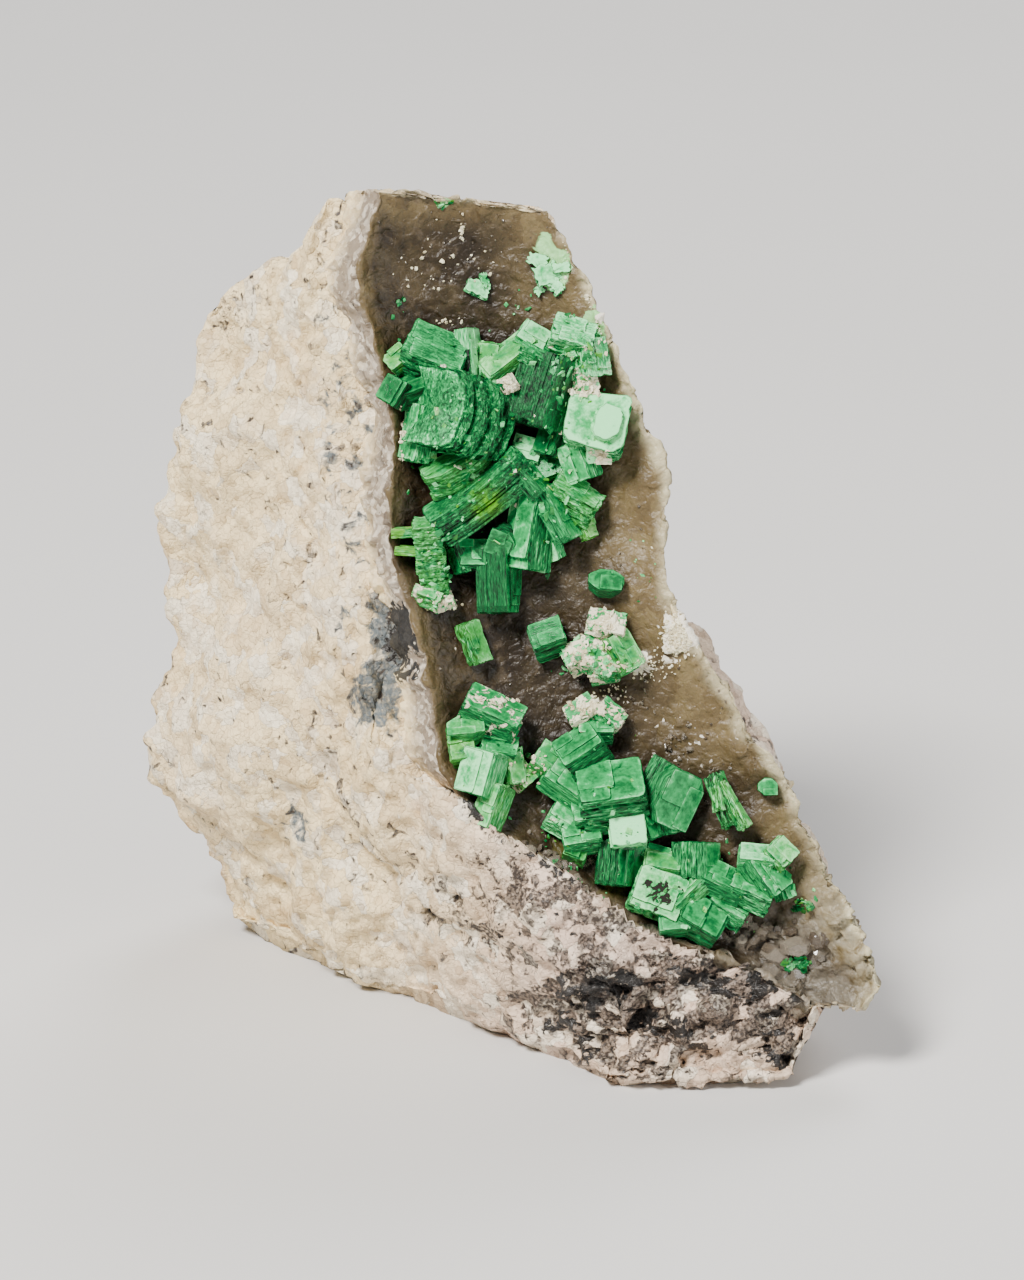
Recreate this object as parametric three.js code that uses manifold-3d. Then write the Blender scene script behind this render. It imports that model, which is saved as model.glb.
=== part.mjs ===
// Torbernite on matrix: a broken piece of granite, about 43 mm tall, whose leaning front is
// coated with a hollowed crust of smoky quartz that carries clusters of torbernite tablets.
// Millimetres, +Z up, the flat broken foot on z = 0, the crust facing -Y.
import * as THREE from 'three';
import Module from 'manifold-3d';

const wasm = await Module();
wasm.setup();

// Driving dimensions
const faceLean = THREE.MathUtils.degToRad(20); // how far the crusted front leans back
const faceFoot = 0.1; // where the plane of the front meets the ground, along Y
const crustThick = 2.8; // from the crust's left lip to its back
const lipThick = 2.2; // the same at its right lip
const crustDip = 1.9; // how much deeper the trough is halfway up than at the crust's two ends
const endDip = 0.2; // how deep the trough is at those ends
const lipSet = 0.15; // how far the crust's lips lie behind the plane of the front
const troughLean = 0.7; // power on the way across: below 1 the trough is deepest left of its middle
const crustBottom = 4.4; // lower end of the crust, measured up the slope
const crustTop = 45.5; // upper end of the crust, measured up the slope
const slantFrom = 40; // above this the crust's rows slope down to the right
const slant = 0.18; // how much steeper they get for each mm further up
const exposedFrom = 16.5; // above this the crust's left edge is a bare broken wall
const crustFlare = 1.5; // how much wider than its lips that wall is at the back
const lipOverhang = 0.8; // how far the right lip stands past the granite
const bookScale = 1.15; // how much larger the crystals have grown than their listed sizes
const steppedVolume = 5; // a book larger than this, in cubic mm, shows steps between its plates
const steppedBook = [[0, 0.96], [0.4, 1], [0.5, 0.86], [1, 0.82]]; // share of the thickness, width there
const plainBook = [[0, 1], [1, 0.93]]; // the same for a small book
const edgeJag = 0.35; // how far the crust's broken edges wander in and out
const planMiddle = new THREE.Vector2(-1.1, 14.7); // middle of the specimen seen from above
const gap = 0.32; // clearance between pieces that touch
const clearRoom = 4; // room kept free of granite in front of the crust and beside it
const chamfer = 0.8; // height of the worn edge round the foot
const soleInset = 0.07; // how far the foot is drawn in there, as a share of its width
const crownShares = [0.3, 0.6]; // where the crown's rings lie on the way to its middle
const crownRise = 2; // how far the crown would swell at its middle
const crownMargin = 0.3; // how far the crown stays below the crust's upper end
const blockSize = 5; // large broken blocks of the granite
const blockHeight = 1.5; // how far neighbouring blocks may stand apart
const lumpSize = 2.4; // the same for its coarse grains
const lumpHeight = 0.7;
const seeds = { block: 3, lump: 11, edge: 5 }; // which repeatable chance each pattern takes
const sweepRows = 20; // rings up the granite
const sweepSteps = 4; // points from one rock edge to the next
const crustRows = 20; // rings up the crust
const crustColumns = 6; // steps across its front
const backColumns = 2; // steps across its back

// A point of the leaning front: x across, s up the slope, d out of it.
function onFace(x, s, d = 0) {
  return new THREE.Vector3(
    x,
    faceFoot + s * Math.sin(faceLean) - d * Math.cos(faceLean),
    s * Math.cos(faceLean) + d * Math.sin(faceLean),
  );
}

// The crust's left and right edges: distance across at a distance up the slope.
const crustLeft = [
  [4.4, 14.8], [6.5, 11.4], [8.2, 6.4], [11.2, 2.4], [13.2, -1.0], [14.8, -2.2], [16.7, -3.6],
  [20.7, -4.1], [24.7, -4.9], [27.7, -6.1], [34, -5.8], [38.7, -7.1], [41.5, -7.6], [45, -6.6],
];
const crustRight = [
  [4.4, 17.6], [5.3, 18.3], [6.9, 18.1], [9.1, 17.1], [13.8, 14.6], [15.1, 14.4], [17.7, 12.4],
  [21.2, 10.1], [22.6, 9.3], [25.5, 7.8], [30.7, 8.0], [32, 7.5], [38.1, 4.9], [42.4, 3.1],
  [45, 1.7],
];

// Straight-line reading of a list of [position, value] pairs.
function read(list, position) {
  const last = list.length - 1;
  if (position <= list[0][0]) return list[0][1];
  if (position >= list[last][0]) return list[last][1];
  const next = list.findIndex(([at]) => at > position);
  const [from, low] = list[next - 1];
  const [to, high] = list[next];
  return low + ((high - low) * (position - from)) / (to - from);
}

// How far the crust's surface lies behind its lips: a trough, deepest left of the middle and
// shallow at both ends. q runs from 0 at the left edge to 1 at the right one.
function crustHollow(q, s) {
  const along = (s - crustBottom) / (crustTop - crustBottom);
  const ends = Math.sqrt(Math.max(0, 4 * along * (1 - along)));
  return -(endDip + crustDip * ends) * Math.sin(Math.PI * q ** troughLean) - lipSet;
}

function acrossCrust(x, s) {
  const left = read(crustLeft, s);
  const right = read(crustRight, s);
  return THREE.MathUtils.clamp((x - left) / (right - left), 0, 1);
}

function crustDepthAt(x, s) {
  return crustHollow(acrossCrust(x, s), s);
}

// How much lower a row of the crust is at its right end.
function rowDrop(s) {
  return Math.max(0, s - slantFrom) * slant;
}

function middleOf(ring) {
  return ring.reduce((sum, p) => sum.add(p), new THREE.Vector3()).divideScalar(ring.length);
}

// A closed surface through a stack of rings with equal counts, fanned shut at both ends.
function loft(rings) {
  const count = rings[0].length;
  const points = rings.flat();
  const foot = points.push(middleOf(rings[0])) - 1;
  const crown = points.push(middleOf(rings[rings.length - 1])) - 1;
  const faces = [];
  for (let r = 0; r < rings.length - 1; r += 1) {
    for (let i = 0; i < count; i += 1) {
      const j = (i + 1) % count;
      const low = r * count;
      const high = low + count;
      faces.push(low + i, low + j, high + j, low + i, high + j, high + i);
    }
  }
  const top = (rings.length - 1) * count;
  for (let i = 0; i < count; i += 1) {
    const j = (i + 1) % count;
    faces.push(foot, j, i, crown, top + i, top + j);
  }
  const geometry = new THREE.BufferGeometry().setFromPoints(points);
  geometry.setIndex(faces);
  return geometry;
}

function solidOf(geometry) {
  return new wasm.Manifold(new wasm.Mesh({
    numProp: 3,
    vertProperties: new Float32Array(geometry.getAttribute('position').array),
    triVerts: new Uint32Array(geometry.getIndex().array),
  }));
}

function geometryOf(solid) {
  const mesh = solid.getMesh();
  const geometry = new THREE.BufferGeometry();
  geometry.setAttribute('position', new THREE.Float32BufferAttribute(mesh.vertProperties, 3));
  geometry.setIndex(new THREE.BufferAttribute(mesh.triVerts, 1));
  return geometry;
}

// The biggest of a solid's separate bodies, without the slivers that a cut leaves loose.
function mainBody(solid) {
  return solid.decompose().sort((a, b) => b.volume() - a.volume())[0];
}

// A repeatable number from 0 to 1 for a cell of a lattice.
function chance(i, j, k, seed) {
  const wave = Math.sin(i * 127.1 + j * 311.7 + k * 74.7 + seed * 53.3) * 43758.5453;
  return wave - Math.floor(wave);
}

// Broken-block relief: the height, from -0.5 to 0.5, of the block that holds the point.
// Blocks are the cells nearest to jittered lattice points.
function blocks(point, size, seed) {
  const p = point.clone().divideScalar(size);
  const [i0, j0, k0] = p.toArray().map(Math.floor);
  let nearest = Infinity;
  let height = 0;
  for (let i = i0 - 1; i <= i0 + 1; i += 1) {
    for (let j = j0 - 1; j <= j0 + 1; j += 1) {
      for (let k = k0 - 1; k <= k0 + 1; k += 1) {
        const centre = new THREE.Vector3(
          i + chance(i, j, k, seed),
          j + chance(i, j, k, seed + 1),
          k + chance(i, j, k, seed + 2),
        );
        const distance = centre.distanceTo(p);
        if (distance < nearest) {
          nearest = distance;
          height = chance(i, j, k, seed + 3) - 0.5;
        }
      }
    }
  }
  return height;
}

// Granite: the edges of the broken piece, each from the foot to the crown, in order round it.
const slope = (x, s) => onFace(x, s).toArray();
const rockEdges = {
  ridge: [
    [-3.8, 10, 0], [-3.9, 7.6, 6], slope(-2.9, 13.6), slope(-3.7, 17.5), slope(-4.4, 22),
    slope(-6.0, 27.7), slope(-5.9, 34), slope(-7.3, 39.4), slope(-7.0, 45),
  ],
  nose: [
    [6, 0.4, 0], [5.2, 1.4, 4], slope(3.8, 8.8), slope(2.4, 15), slope(1.2, 22), slope(1, 30),
    slope(-0.6, 37), slope(-2.6, 45.3),
  ],
  rim: [
    [13.7, 0.6, 0], slope(15.6, 3.6), slope(17, 6.9), slope(16, 9.8), slope(13.6, 14.8),
    slope(11.3, 18.6), slope(8.6, 22.8), slope(7.2, 25.7), slope(7.3, 30.6), slope(5.7, 34.8),
    slope(3.4, 40), slope(1.3, 44.6),
  ],
  rightBack: [
    [12.8, 9, 0], [16.2, 9.5, 6], [13.8, 11, 12], [9.2, 14, 18], [6.8, 16, 23.5], [6.5, 18, 28.5],
    [4.2, 19.5, 34], [1.0, 20.0, 40],
  ],
  backRight: [
    [9, 20, 0], [12.4, 20.5, 6], [11, 22, 12], [7, 23, 18], [4.2, 24, 24], [1.5, 24, 30],
    [-2.6, 22.8, 38],
  ],
  back: [
    [-2, 25.5, 0], [-2.4, 27.6, 7], [-3, 28.4, 14], [-4, 28.2, 21], [-5, 27.2, 27], [-6, 25, 33.8],
  ],
  backLeft: [
    [-10.5, 26, 0], [-13, 27.6, 7], [-15.2, 27.6, 14], [-14.8, 27, 20], [-12.6, 25.6, 29.6],
  ],
  farLeft: [
    [-15.2, 20.6, 0], [-16.1, 21.2, 4], [-18.9, 21.4, 7.6], [-19.6, 21.4, 12], [-18.1, 21.4, 16.8],
    [-18.5, 21.4, 22], [-17.3, 21.4, 28.4], [-16, 21.6, 34.2],
  ],
  leftMiddle: [
    [-9.4, 15.2, 0], [-10.2, 13.6, 7], [-11, 13.4, 14], [-12, 14.6, 21], [-12.6, 15.8, 27],
    [-12.6, 17.4, 33], [-12, 19.4, 37.2],
  ],
  leftNear: [
    [-6.2, 12.4, 0], [-6.6, 10.2, 7], [-7, 9.4, 14], [-8, 10.9, 21], [-9, 12.8, 27],
    [-9, 14.6, 34], [-9.7, 17, 40.4],
  ],
};

function graniteRings() {
  const edges = Object.values(rockEdges).map((points) => new THREE.CatmullRomCurve3(
    points.map((p) => new THREE.Vector3(...p)), false, 'catmullrom', 0.5,
  ));
  const rings = [];
  for (let row = 0; row <= sweepRows; row += 1) {
    const heights = edges.map((edge) => edge.getPoint(row / sweepRows));
    const ring = [];
    heights.forEach((from, i) => {
      const to = heights[(i + 1) % heights.length];
      for (let step = 0; step < sweepSteps; step += 1) {
        ring.push(from.clone().lerp(to, step / sweepSteps));
      }
    });
    rings.push(ring);
  }
  return rings;
}

// Rings drawn in towards their own middle by a share.
function shrink(ring, share) {
  const middle = middleOf(ring);
  return ring.map((p) => p.clone().lerp(middle, share));
}

// A point of the granite lowered along the slope where it would rise past the crust's upper end.
function keptBelowCrust(p) {
  const s = (p.y - faceFoot) * Math.sin(faceLean) + p.z * Math.cos(faceLean);
  const limit = crustTop - crownMargin - rowDrop(crustTop) * acrossCrust(p.x, s);
  const up = onFace(0, 1).sub(onFace(0, 0));
  return p.addScaledVector(up, Math.min(0, limit - s));
}

function granite() {
  const rings = graniteRings();
  const sole = shrink(rings[0], soleInset);
  rings[0].forEach((p) => p.setZ(chamfer));
  const crown = rings[rings.length - 1];
  const rise = new THREE.Vector3(0, 0, crownRise);
  const crownRings = crownShares.map((share) => shrink(crown, share)
    .map((p) => p.addScaledVector(rise, Math.sqrt(share))));
  const geometry = loft([sole, ...rings, ...crownRings]);
  geometry.computeVertexNormals();
  const positions = geometry.getAttribute('position');
  const normals = geometry.getAttribute('normal');
  for (let i = 0; i < positions.count; i += 1) {
    const p = new THREE.Vector3().fromBufferAttribute(positions, i);
    const large = blockHeight * blocks(p, blockSize, seeds.block);
    const small = lumpHeight * blocks(p, lumpSize, seeds.lump);
    if (p.z > chamfer) {
      p.addScaledVector(new THREE.Vector3().fromBufferAttribute(normals, i), large + small);
      keptBelowCrust(p);
      positions.setXYZ(i, p.x, p.y, Math.max(p.z, chamfer));
    }
  }
  return solidOf(geometry);
}

// The crust: rings across it, from its lower end to its upper one. Each ring runs along the
// hollowed front from left to right and returns along the flat back. With clear, the front is
// flat and far out and the free sides stand away, which is the room to leave round the crust.
function crust(clear = 0) {
  const rings = [];
  const rows = clear > 0 ? crustRows + 1 : crustRows;
  for (let row = 0; row <= rows; row += 1) {
    const past = row > crustRows ? clear : 0;
    const s = crustBottom + ((crustTop - crustBottom) * row) / crustRows + past;
    const bare = THREE.MathUtils.smoothstep(s, exposedFrom - 2, exposedFrom);
    const [jagLeft, jagRight, jagBack] = [0, 1, 2]
      .map((part) => edgeJag * chance(row, part, 0, seeds.edge));
    const left = read(crustLeft, s) - jagLeft - clear * bare;
    const right = read(crustRight, s) + jagRight - edgeJag / 2 + clear;
    const ring = [];
    for (let column = 0; column <= crustColumns; column += 1) {
      const q = column / crustColumns;
      const x = THREE.MathUtils.lerp(left, right, q);
      ring.push(onFace(x, s - rowDrop(s) * q, clear > 0 ? clear : crustDepthAt(x, s)));
    }
    const backLeft = left - crustFlare * bare;
    const backRight = right - lipOverhang;
    for (let column = backColumns; column >= 0; column -= 1) {
      const q = column / backColumns;
      const x = THREE.MathUtils.lerp(backLeft, backRight, q);
      const back = THREE.MathUtils.lerp(crustThick, lipThick + jagBack, q);
      ring.push(onFace(x, s - rowDrop(s) * q, -back));
    }
    rings.push(ring);
  }
  return solidOf(loft(rings));
}

// A solid joined with copies of itself moved by steps given across, up and out of the face, so
// that what it is cut from stays clear of it.
function swollen(solid, steps) {
  const origin = onFace(0, 0);
  return steps.map(([x, s, d]) => solid.translate(onFace(x, s, d).sub(origin).toArray()))
    .reduce((all, next) => all.add(next), solid);
}

// A torbernite crystal: a book of square plates with cut corners, stepped where one plate ends
// inside the next. at is across, up the slope and out of the crust; size is the visible edge,
// the depth and the thickness of the book. Its plates face the direction that leans from
// straight out of the crust by lean degrees, towards the angle toward (0 right, 90 up the slope).
function crystal({ at: [x, s, rise], size, toward = 90, lean = 30, cut = 0, taper = 0 }) {
  const [width, depth, thick] = size.map((length) => length * bookScale);
  const turn = THREE.MathUtils.degToRad(toward);
  const tilt = THREE.MathUtils.degToRad(lean);
  const across = new THREE.Vector3(1, 0, 0);
  const up = onFace(0, 1).sub(onFace(0, 0));
  const out = onFace(0, 0, 1).sub(onFace(0, 0));
  const heading = across.clone().multiplyScalar(Math.cos(turn)).addScaledVector(up, Math.sin(turn));
  const edge = across.clone().multiplyScalar(Math.sin(turn)).addScaledVector(up, -Math.cos(turn));
  const axis = out.clone().multiplyScalar(Math.cos(tilt)).addScaledVector(heading, Math.sin(tilt));
  const side = axis.clone().cross(edge);
  const centre = onFace(x, s, crustDepthAt(x, s) + rise);
  const corner = cut * Math.min(width, depth);
  const halfWidth = width / 2;
  const halfDepth = depth / 2;
  const square = [
    [halfWidth, -halfDepth], [halfWidth, halfDepth],
    [-halfWidth, halfDepth], [-halfWidth, -halfDepth],
  ];
  const octagon = [
    [halfWidth, -halfDepth + corner], [halfWidth, halfDepth - corner],
    [halfWidth - corner, halfDepth], [-halfWidth + corner, halfDepth],
    [-halfWidth, halfDepth - corner], [-halfWidth, -halfDepth + corner],
    [-halfWidth + corner, -halfDepth], [halfWidth - corner, -halfDepth],
  ];
  const outline = cut > 0 ? octagon : square;
  const steps = width * depth * thick > steppedVolume ? steppedBook : plainBook;
  const rings = steps.map(([share, scale]) => outline.map(([u, v]) => {
    const narrow = scale * (1 - taper * (0.5 - u / width));
    return centre.clone()
      .addScaledVector(edge, u * scale)
      .addScaledVector(side, v * narrow)
      .addScaledVector(axis, (share - 0.5) * thick);
  }));
  return solidOf(loft(rings));
}

// Crystals that have grown into one another, from the top of the specimen down.
const clusters = {
  torbernite_upper_cluster: [
    { at: [-3.8, 36.7, 1.2], size: [3.3, 2.4, 1.8], toward: 88, lean: 50 },
    { at: [-2.15, 37.1, 1.1], size: [2.3, 1.5, 0.6], toward: 8, lean: 70 },
    { at: [-5.7, 36.8, 0.6], size: [1.2, 1.1, 0.5], toward: 130, lean: 40 },
    { at: [-5.8, 35.1, 0.7], size: [1.3, 1.2, 0.8], toward: 150, lean: 35 },
    { at: [-4.7, 35.2, 0.9], size: [1.7, 1.3, 1.1], toward: 110, lean: 45 },
    { at: [-2.3, 33.9, 1.9], size: [3.7, 3.1, 3.1], toward: 166, lean: 45 },
    { at: [-4.5, 33.1, 1.0], size: [2.7, 1.4, 1.1], toward: 170, lean: 55 },
    { at: [-2.7, 31.2, 1.8], size: [3.2, 1.5, 1.3], toward: 118, lean: 55, cut: 0.25 },
    { at: [-1.5, 29.9, 1.9], size: [5.2, 2.3, 1.5], toward: 128, lean: 65 },
    { at: [0.65, 31, 2.1], size: [2.4, 1.6, 0.6], toward: 40, lean: 70 },
    { at: [2.25, 29.1, 1.5], size: [2.7, 1.7, 0.8], toward: 28, lean: 65 },
    { at: [0.95, 28.4, 1.4], size: [3.8, 1.6, 1.5], toward: 171, lean: 40 },
    { at: [-0.5, 27.8, 1.8], size: [1.3, 1.4, 0.9], toward: 250, lean: 30, cut: 0.28 },
    { at: [-0.7, 25.7, 0.9], size: [2.9, 1.7, 1.4], toward: 0, lean: 72, taper: -0.3 },
    { at: [-1.9, 27, 1.2], size: [1.4, 1.3, 0.8], toward: 90, lean: 20 },
    { at: [-2.6, 27.1, 0.9], size: [1.9, 1.2, 0.8], toward: 200, lean: 65 },
    { at: [-4.05, 26.9, 0.9], size: [1.5, 1.6, 3.3], toward: 96, lean: 65 },
    { at: [-5.2, 28.1, 0.7], size: [1.6, 0.9, 0.25], toward: 92, lean: 75 },
    { at: [-5.1, 27.2, 0.7], size: [1.5, 0.9, 0.25], toward: 86, lean: 75 },
    { at: [-4.3, 24.9, 0.5], size: [1.5, 0.9, 0.6], toward: 70, lean: 50 },
    { at: [-3.45, 24.7, 0.5], size: [1.1, 0.9, 0.5], toward: 110, lean: 40 },
    { at: [-1.1, 36.8, 0.9], size: [1.6, 1.4, 0.6], toward: 170, lean: 35 },
    { at: [-0.1, 36.9, 1.2], size: [2.9, 1.4, 0.8], toward: 128, lean: 40 },
    { at: [0.95, 37.8, 1.0], size: [1.4, 1.2, 0.9], toward: 60, lean: 30 },
    { at: [1.7, 35.4, 1.3], size: [3.6, 2.6, 2.3], toward: -18, lean: 55 },
    { at: [3.15, 37.1, 1.1], size: [2.5, 3.0, 1.6], toward: 40, lean: 25, cut: 0.2 },
    { at: [3.7, 35.5, 1.3], size: [1.3, 1.2, 1.0], toward: 20, lean: 20, cut: 0.25 },
    { at: [4.2, 33.5, 1.3], size: [2.9, 3.0, 1.6], toward: 80, lean: 15, cut: 0.16 },
    { at: [4.65, 33.5, 2.2], size: [1.5, 2.1, 0.6], toward: 85, lean: 15, cut: 0.35 },
    { at: [4.35, 32.1, 1.7], size: [1.2, 1.0, 0.4], toward: 270, lean: 35 },
    { at: [3.4, 31.7, 1.2], size: [1.9, 1.3, 1.0], toward: 200, lean: 40 },
    { at: [2.2, 32.7, 0.9], size: [1.6, 1.4, 1.1], toward: 160, lean: 50 },
    { at: [-0.25, 35.5, 2.2], size: [1.1, 1.1, 1.2], toward: 45, lean: 30, cut: 0.25 },
    { at: [0.7, 32.3, 0.8], size: [1.4, 1.2, 0.5], toward: 75, lean: 25 },
    { at: [1.6, 31.4, 0.7], size: [1.6, 1.3, 0.5], toward: 110, lean: 20 },
    { at: [3.1, 29.8, 1.0], size: [2.4, 1.7, 1.2], toward: 60, lean: 55 },
    { at: [3.7, 28.5, 0.6], size: [1.3, 0.8, 0.5], toward: 20, lean: 45 },
    { at: [1.95, 27.4, 0.6], size: [1.3, 1.0, 0.6], toward: 200, lean: 40 },
  ],
  torbernite_middle_cluster: [
    { at: [1.8, 22.8, 0.7], size: [1.6, 1.5, 1.1], toward: 110, lean: 35 },
    { at: [4.7, 23.4, 0.8], size: [1.9, 1.3, 1.0], toward: 80, lean: 30 },
    { at: [3.4, 22.0, 0.7], size: [1.6, 1.4, 1.0], toward: 120, lean: 35 },
    { at: [4.3, 21.9, 0.9], size: [1.9, 1.8, 1.1], toward: 60, lean: 25 },
    { at: [5.5, 22.1, 0.8], size: [1.9, 1.4, 0.9], toward: 30, lean: 35 },
    { at: [4.6, 21.2, 0.7], size: [1.4, 1.0, 0.8], toward: 100, lean: 30 },
  ],
  torbernite_lower_cluster: [
    { at: [-1.0, 19.0, 1.0], size: [2.8, 1.6, 1.2], toward: 65, lean: 50 },
    { at: [-2.3, 18.2, 0.8], size: [1.8, 1.3, 0.8], toward: 95, lean: 45, cut: 0.35 },
    { at: [-2.5, 17.2, 0.7], size: [1.2, 1.3, 0.9], toward: 100, lean: 30 },
    { at: [-0.7, 17.2, 1.0], size: [1.8, 1.3, 0.9], toward: 80, lean: 45 },
    { at: [-1.5, 16.1, 1.3], size: [2.1, 1.7, 1.3], toward: 165, lean: 35 },
    { at: [-0.1, 16.4, 0.9], size: [1.7, 1.1, 0.9], toward: 10, lean: 40 },
    { at: [-1.0, 14.5, 0.8], size: [2.1, 1.3, 1.0], toward: 160, lean: 40 },
    { at: [0.45, 15.9, 0.6], size: [1.1, 1.0, 0.8], toward: 40, lean: 30 },
    { at: [3.6, 19.0, 0.8], size: [1.6, 1.3, 1.0], toward: 130, lean: 30 },
    { at: [4.8, 18.8, 0.8], size: [1.6, 1.3, 1.0], toward: 50, lean: 30 },
    { at: [4.2, 18.3, 0.8], size: [1.6, 1.2, 1.0], toward: 90, lean: 35 },
    { at: [3.6, 17.1, 1.3], size: [2.1, 1.8, 1.4], toward: 124, lean: 50 },
    { at: [1.95, 16.5, 0.9], size: [1.7, 1.4, 0.9], toward: 55, lean: 30 },
    { at: [2.8, 15.4, 1.1], size: [2.4, 1.4, 1.0], toward: 55, lean: 40 },
    { at: [5.0, 14.9, 1.7], size: [3.1, 2.5, 2.1], toward: 98, lean: 45 },
    { at: [6.5, 14.3, 1.2], size: [3.0, 1.7, 0.8], toward: 20, lean: 60 },
    { at: [5.75, 13.2, 1.9], size: [1.7, 1.5, 1.2], toward: 95, lean: 12 },
    { at: [5.1, 11.6, 0.9], size: [2.1, 1.4, 1.7], toward: -5, lean: 65 },
    { at: [4.1, 14.0, 1.2], size: [1.9, 1.6, 1.3], toward: 100, lean: 40 },
    { at: [2.6, 13.7, 0.7], size: [1.5, 1.4, 0.9], toward: 60, lean: 30 },
    { at: [3.5, 12.9, 1.0], size: [1.8, 1.6, 1.1], toward: 100, lean: 40 },
    { at: [3.2, 12.1, 0.6], size: [1.1, 1.0, 0.7], toward: 70, lean: 30 },
    { at: [8.0, 14.9, 1.3], size: [2.6, 2.2, 1.2], toward: -25, lean: 35, cut: 0.2 },
    { at: [7.3, 15.8, 1.0], size: [1.8, 1.1, 0.9], toward: -30, lean: 50 },
    { at: [7.8, 13.8, 0.9], size: [1.5, 1.2, 0.9], toward: 10, lean: 55 },
    { at: [7.25, 11.9, 0.7], size: [1.2, 0.7, 0.6], toward: 75, lean: 40 },
    { at: [7.5, 11.4, 1.0], size: [1.7, 1.2, 0.9], toward: 80, lean: 45 },
    { at: [9.2, 11.7, 1.1], size: [1.7, 1.4, 1.7], toward: 0, lean: 55 },
    { at: [7.3, 10.0, 1.2], size: [2.4, 2.1, 1.2], toward: 70, lean: 15 },
    { at: [8.95, 10.2, 1.4], size: [2.1, 1.4, 0.7], toward: 135, lean: 60 },
    { at: [10.6, 10.6, 1.3], size: [2.1, 1.4, 0.9], toward: 65, lean: 45 },
    { at: [11.9, 10.1, 1.2], size: [2.1, 1.4, 1.0], toward: 65, lean: 50 },
    { at: [8.1, 8.8, 1.0], size: [1.4, 1.5, 1.2], toward: 95, lean: 20 },
    { at: [9.6, 8.9, 1.1], size: [2.0, 2.1, 1.3], toward: 60, lean: 30 },
    { at: [10.8, 9.2, 1.0], size: [1.9, 1.1, 0.9], toward: 60, lean: 50 },
    { at: [12.2, 11.8, 1.1], size: [1.6, 1.1, 0.9], toward: 85, lean: 45 },
    { at: [12.6, 10.9, 1.0], size: [2.1, 1.5, 1.1], toward: 35, lean: 45 },
    { at: [13.3, 12.0, 0.8], size: [1.3, 1.3, 0.9], toward: 45, lean: 30 },
    { at: [13.5, 10.3, 0.5], size: [1.1, 0.8, 0.6], toward: 20, lean: 40 },
  ],
  torbernite_octagon_crystal: [
    { at: [4.7, 25.6, 0.6], size: [1.6, 1.1, 0.8], toward: 85, lean: 25, cut: 0.3 },
  ],
  torbernite_shard_crystal: [
    { at: [-1.95, 22.6, 0.5], size: [2.0, 1.1, 0.7], toward: 20, lean: 45 },
  ],
  torbernite_pitted_crystal: [
    { at: [10.7, 14.75, 1.0], size: [2.9, 1.3, 0.9], toward: 22, lean: 55 },
  ],
  torbernite_flake_left: [
    { at: [-1.7, 40.5, 0.35], size: [1.4, 1.3, 0.5], toward: 75, lean: 6 },
  ],
  torbernite_flake_right: [
    { at: [1.5, 41.4, 0.35], size: [2.0, 1.8, 0.5], toward: 60, lean: 6 },
  ],
  torbernite_flake_low: [
    { at: [12.8, 15.4, 0.35], size: [0.9, 0.8, 0.5], toward: 90, lean: 6, cut: 0.3 },
  ],
};

const graniteFinish = new THREE.MeshStandardMaterial({ color: 0xd8c7b2, roughness: 0.9, metalness: 0 });
const quartzFinish = new THREE.MeshStandardMaterial({ color: 0x86735f, roughness: 0.35, metalness: 0 });
const torberniteFinish = new THREE.MeshStandardMaterial({ color: 0x3f9c68, roughness: 0.4, metalness: 0 });

const specimen = new THREE.Group();
specimen.position.set(-planMiddle.x, -planMiddle.y, 0);

function place(name, solid, finish) {
  const mesh = new THREE.Mesh(geometryOf(solid), finish);
  mesh.name = name;
  specimen.add(mesh);
}

// The granite is cut away where the crust lies, and the crystals stand clear of both. Each list
// holds the ways, across, up and out, in which the clearance is left.
const behindCrust = [[-gap, 0, 0], [0, -gap, 0], [0, 0, -gap], [-gap, 0, -gap], [0, -gap, -gap]];
const underCrystals = [
  [0, 0, gap], [gap, 0, 0], [-gap, 0, 0], [0, -gap, 0], [-gap, -gap, 0], [-gap, 0, gap],
];
const quartz = crust();
const rock = mainBody(granite().subtract(swollen(crust(clearRoom), behindCrust)));
const footing = [quartz, rock].map((solid) => swollen(solid, underCrystals));

place('granite_matrix', rock, graniteFinish);
place('smoky_quartz_crust', quartz, quartzFinish);
for (const [name, crystals] of Object.entries(clusters)) {
  const grown = crystals.map(crystal).reduce((all, next) => all.add(next));
  const standing = footing.reduce((solid, part) => solid.subtract(part), grown);
  place(name, mainBody(standing), torberniteFinish);
}

export default specimen;
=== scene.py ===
import bpy
import numpy as np
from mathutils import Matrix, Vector
from mathutils.bvhtree import BVHTree


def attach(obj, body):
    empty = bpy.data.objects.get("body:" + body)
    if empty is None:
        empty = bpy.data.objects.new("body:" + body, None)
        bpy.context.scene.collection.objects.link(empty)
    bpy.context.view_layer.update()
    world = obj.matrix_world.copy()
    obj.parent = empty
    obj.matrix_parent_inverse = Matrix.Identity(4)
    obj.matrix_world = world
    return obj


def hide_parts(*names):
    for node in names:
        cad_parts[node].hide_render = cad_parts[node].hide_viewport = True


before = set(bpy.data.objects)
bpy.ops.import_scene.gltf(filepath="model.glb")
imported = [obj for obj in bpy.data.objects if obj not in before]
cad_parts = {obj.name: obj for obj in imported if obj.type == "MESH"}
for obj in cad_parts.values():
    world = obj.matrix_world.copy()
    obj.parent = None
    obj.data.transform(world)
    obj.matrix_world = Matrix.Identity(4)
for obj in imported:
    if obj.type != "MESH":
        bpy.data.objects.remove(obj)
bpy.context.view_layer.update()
print("frame loaded:", len(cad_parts), "nodes")

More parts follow.
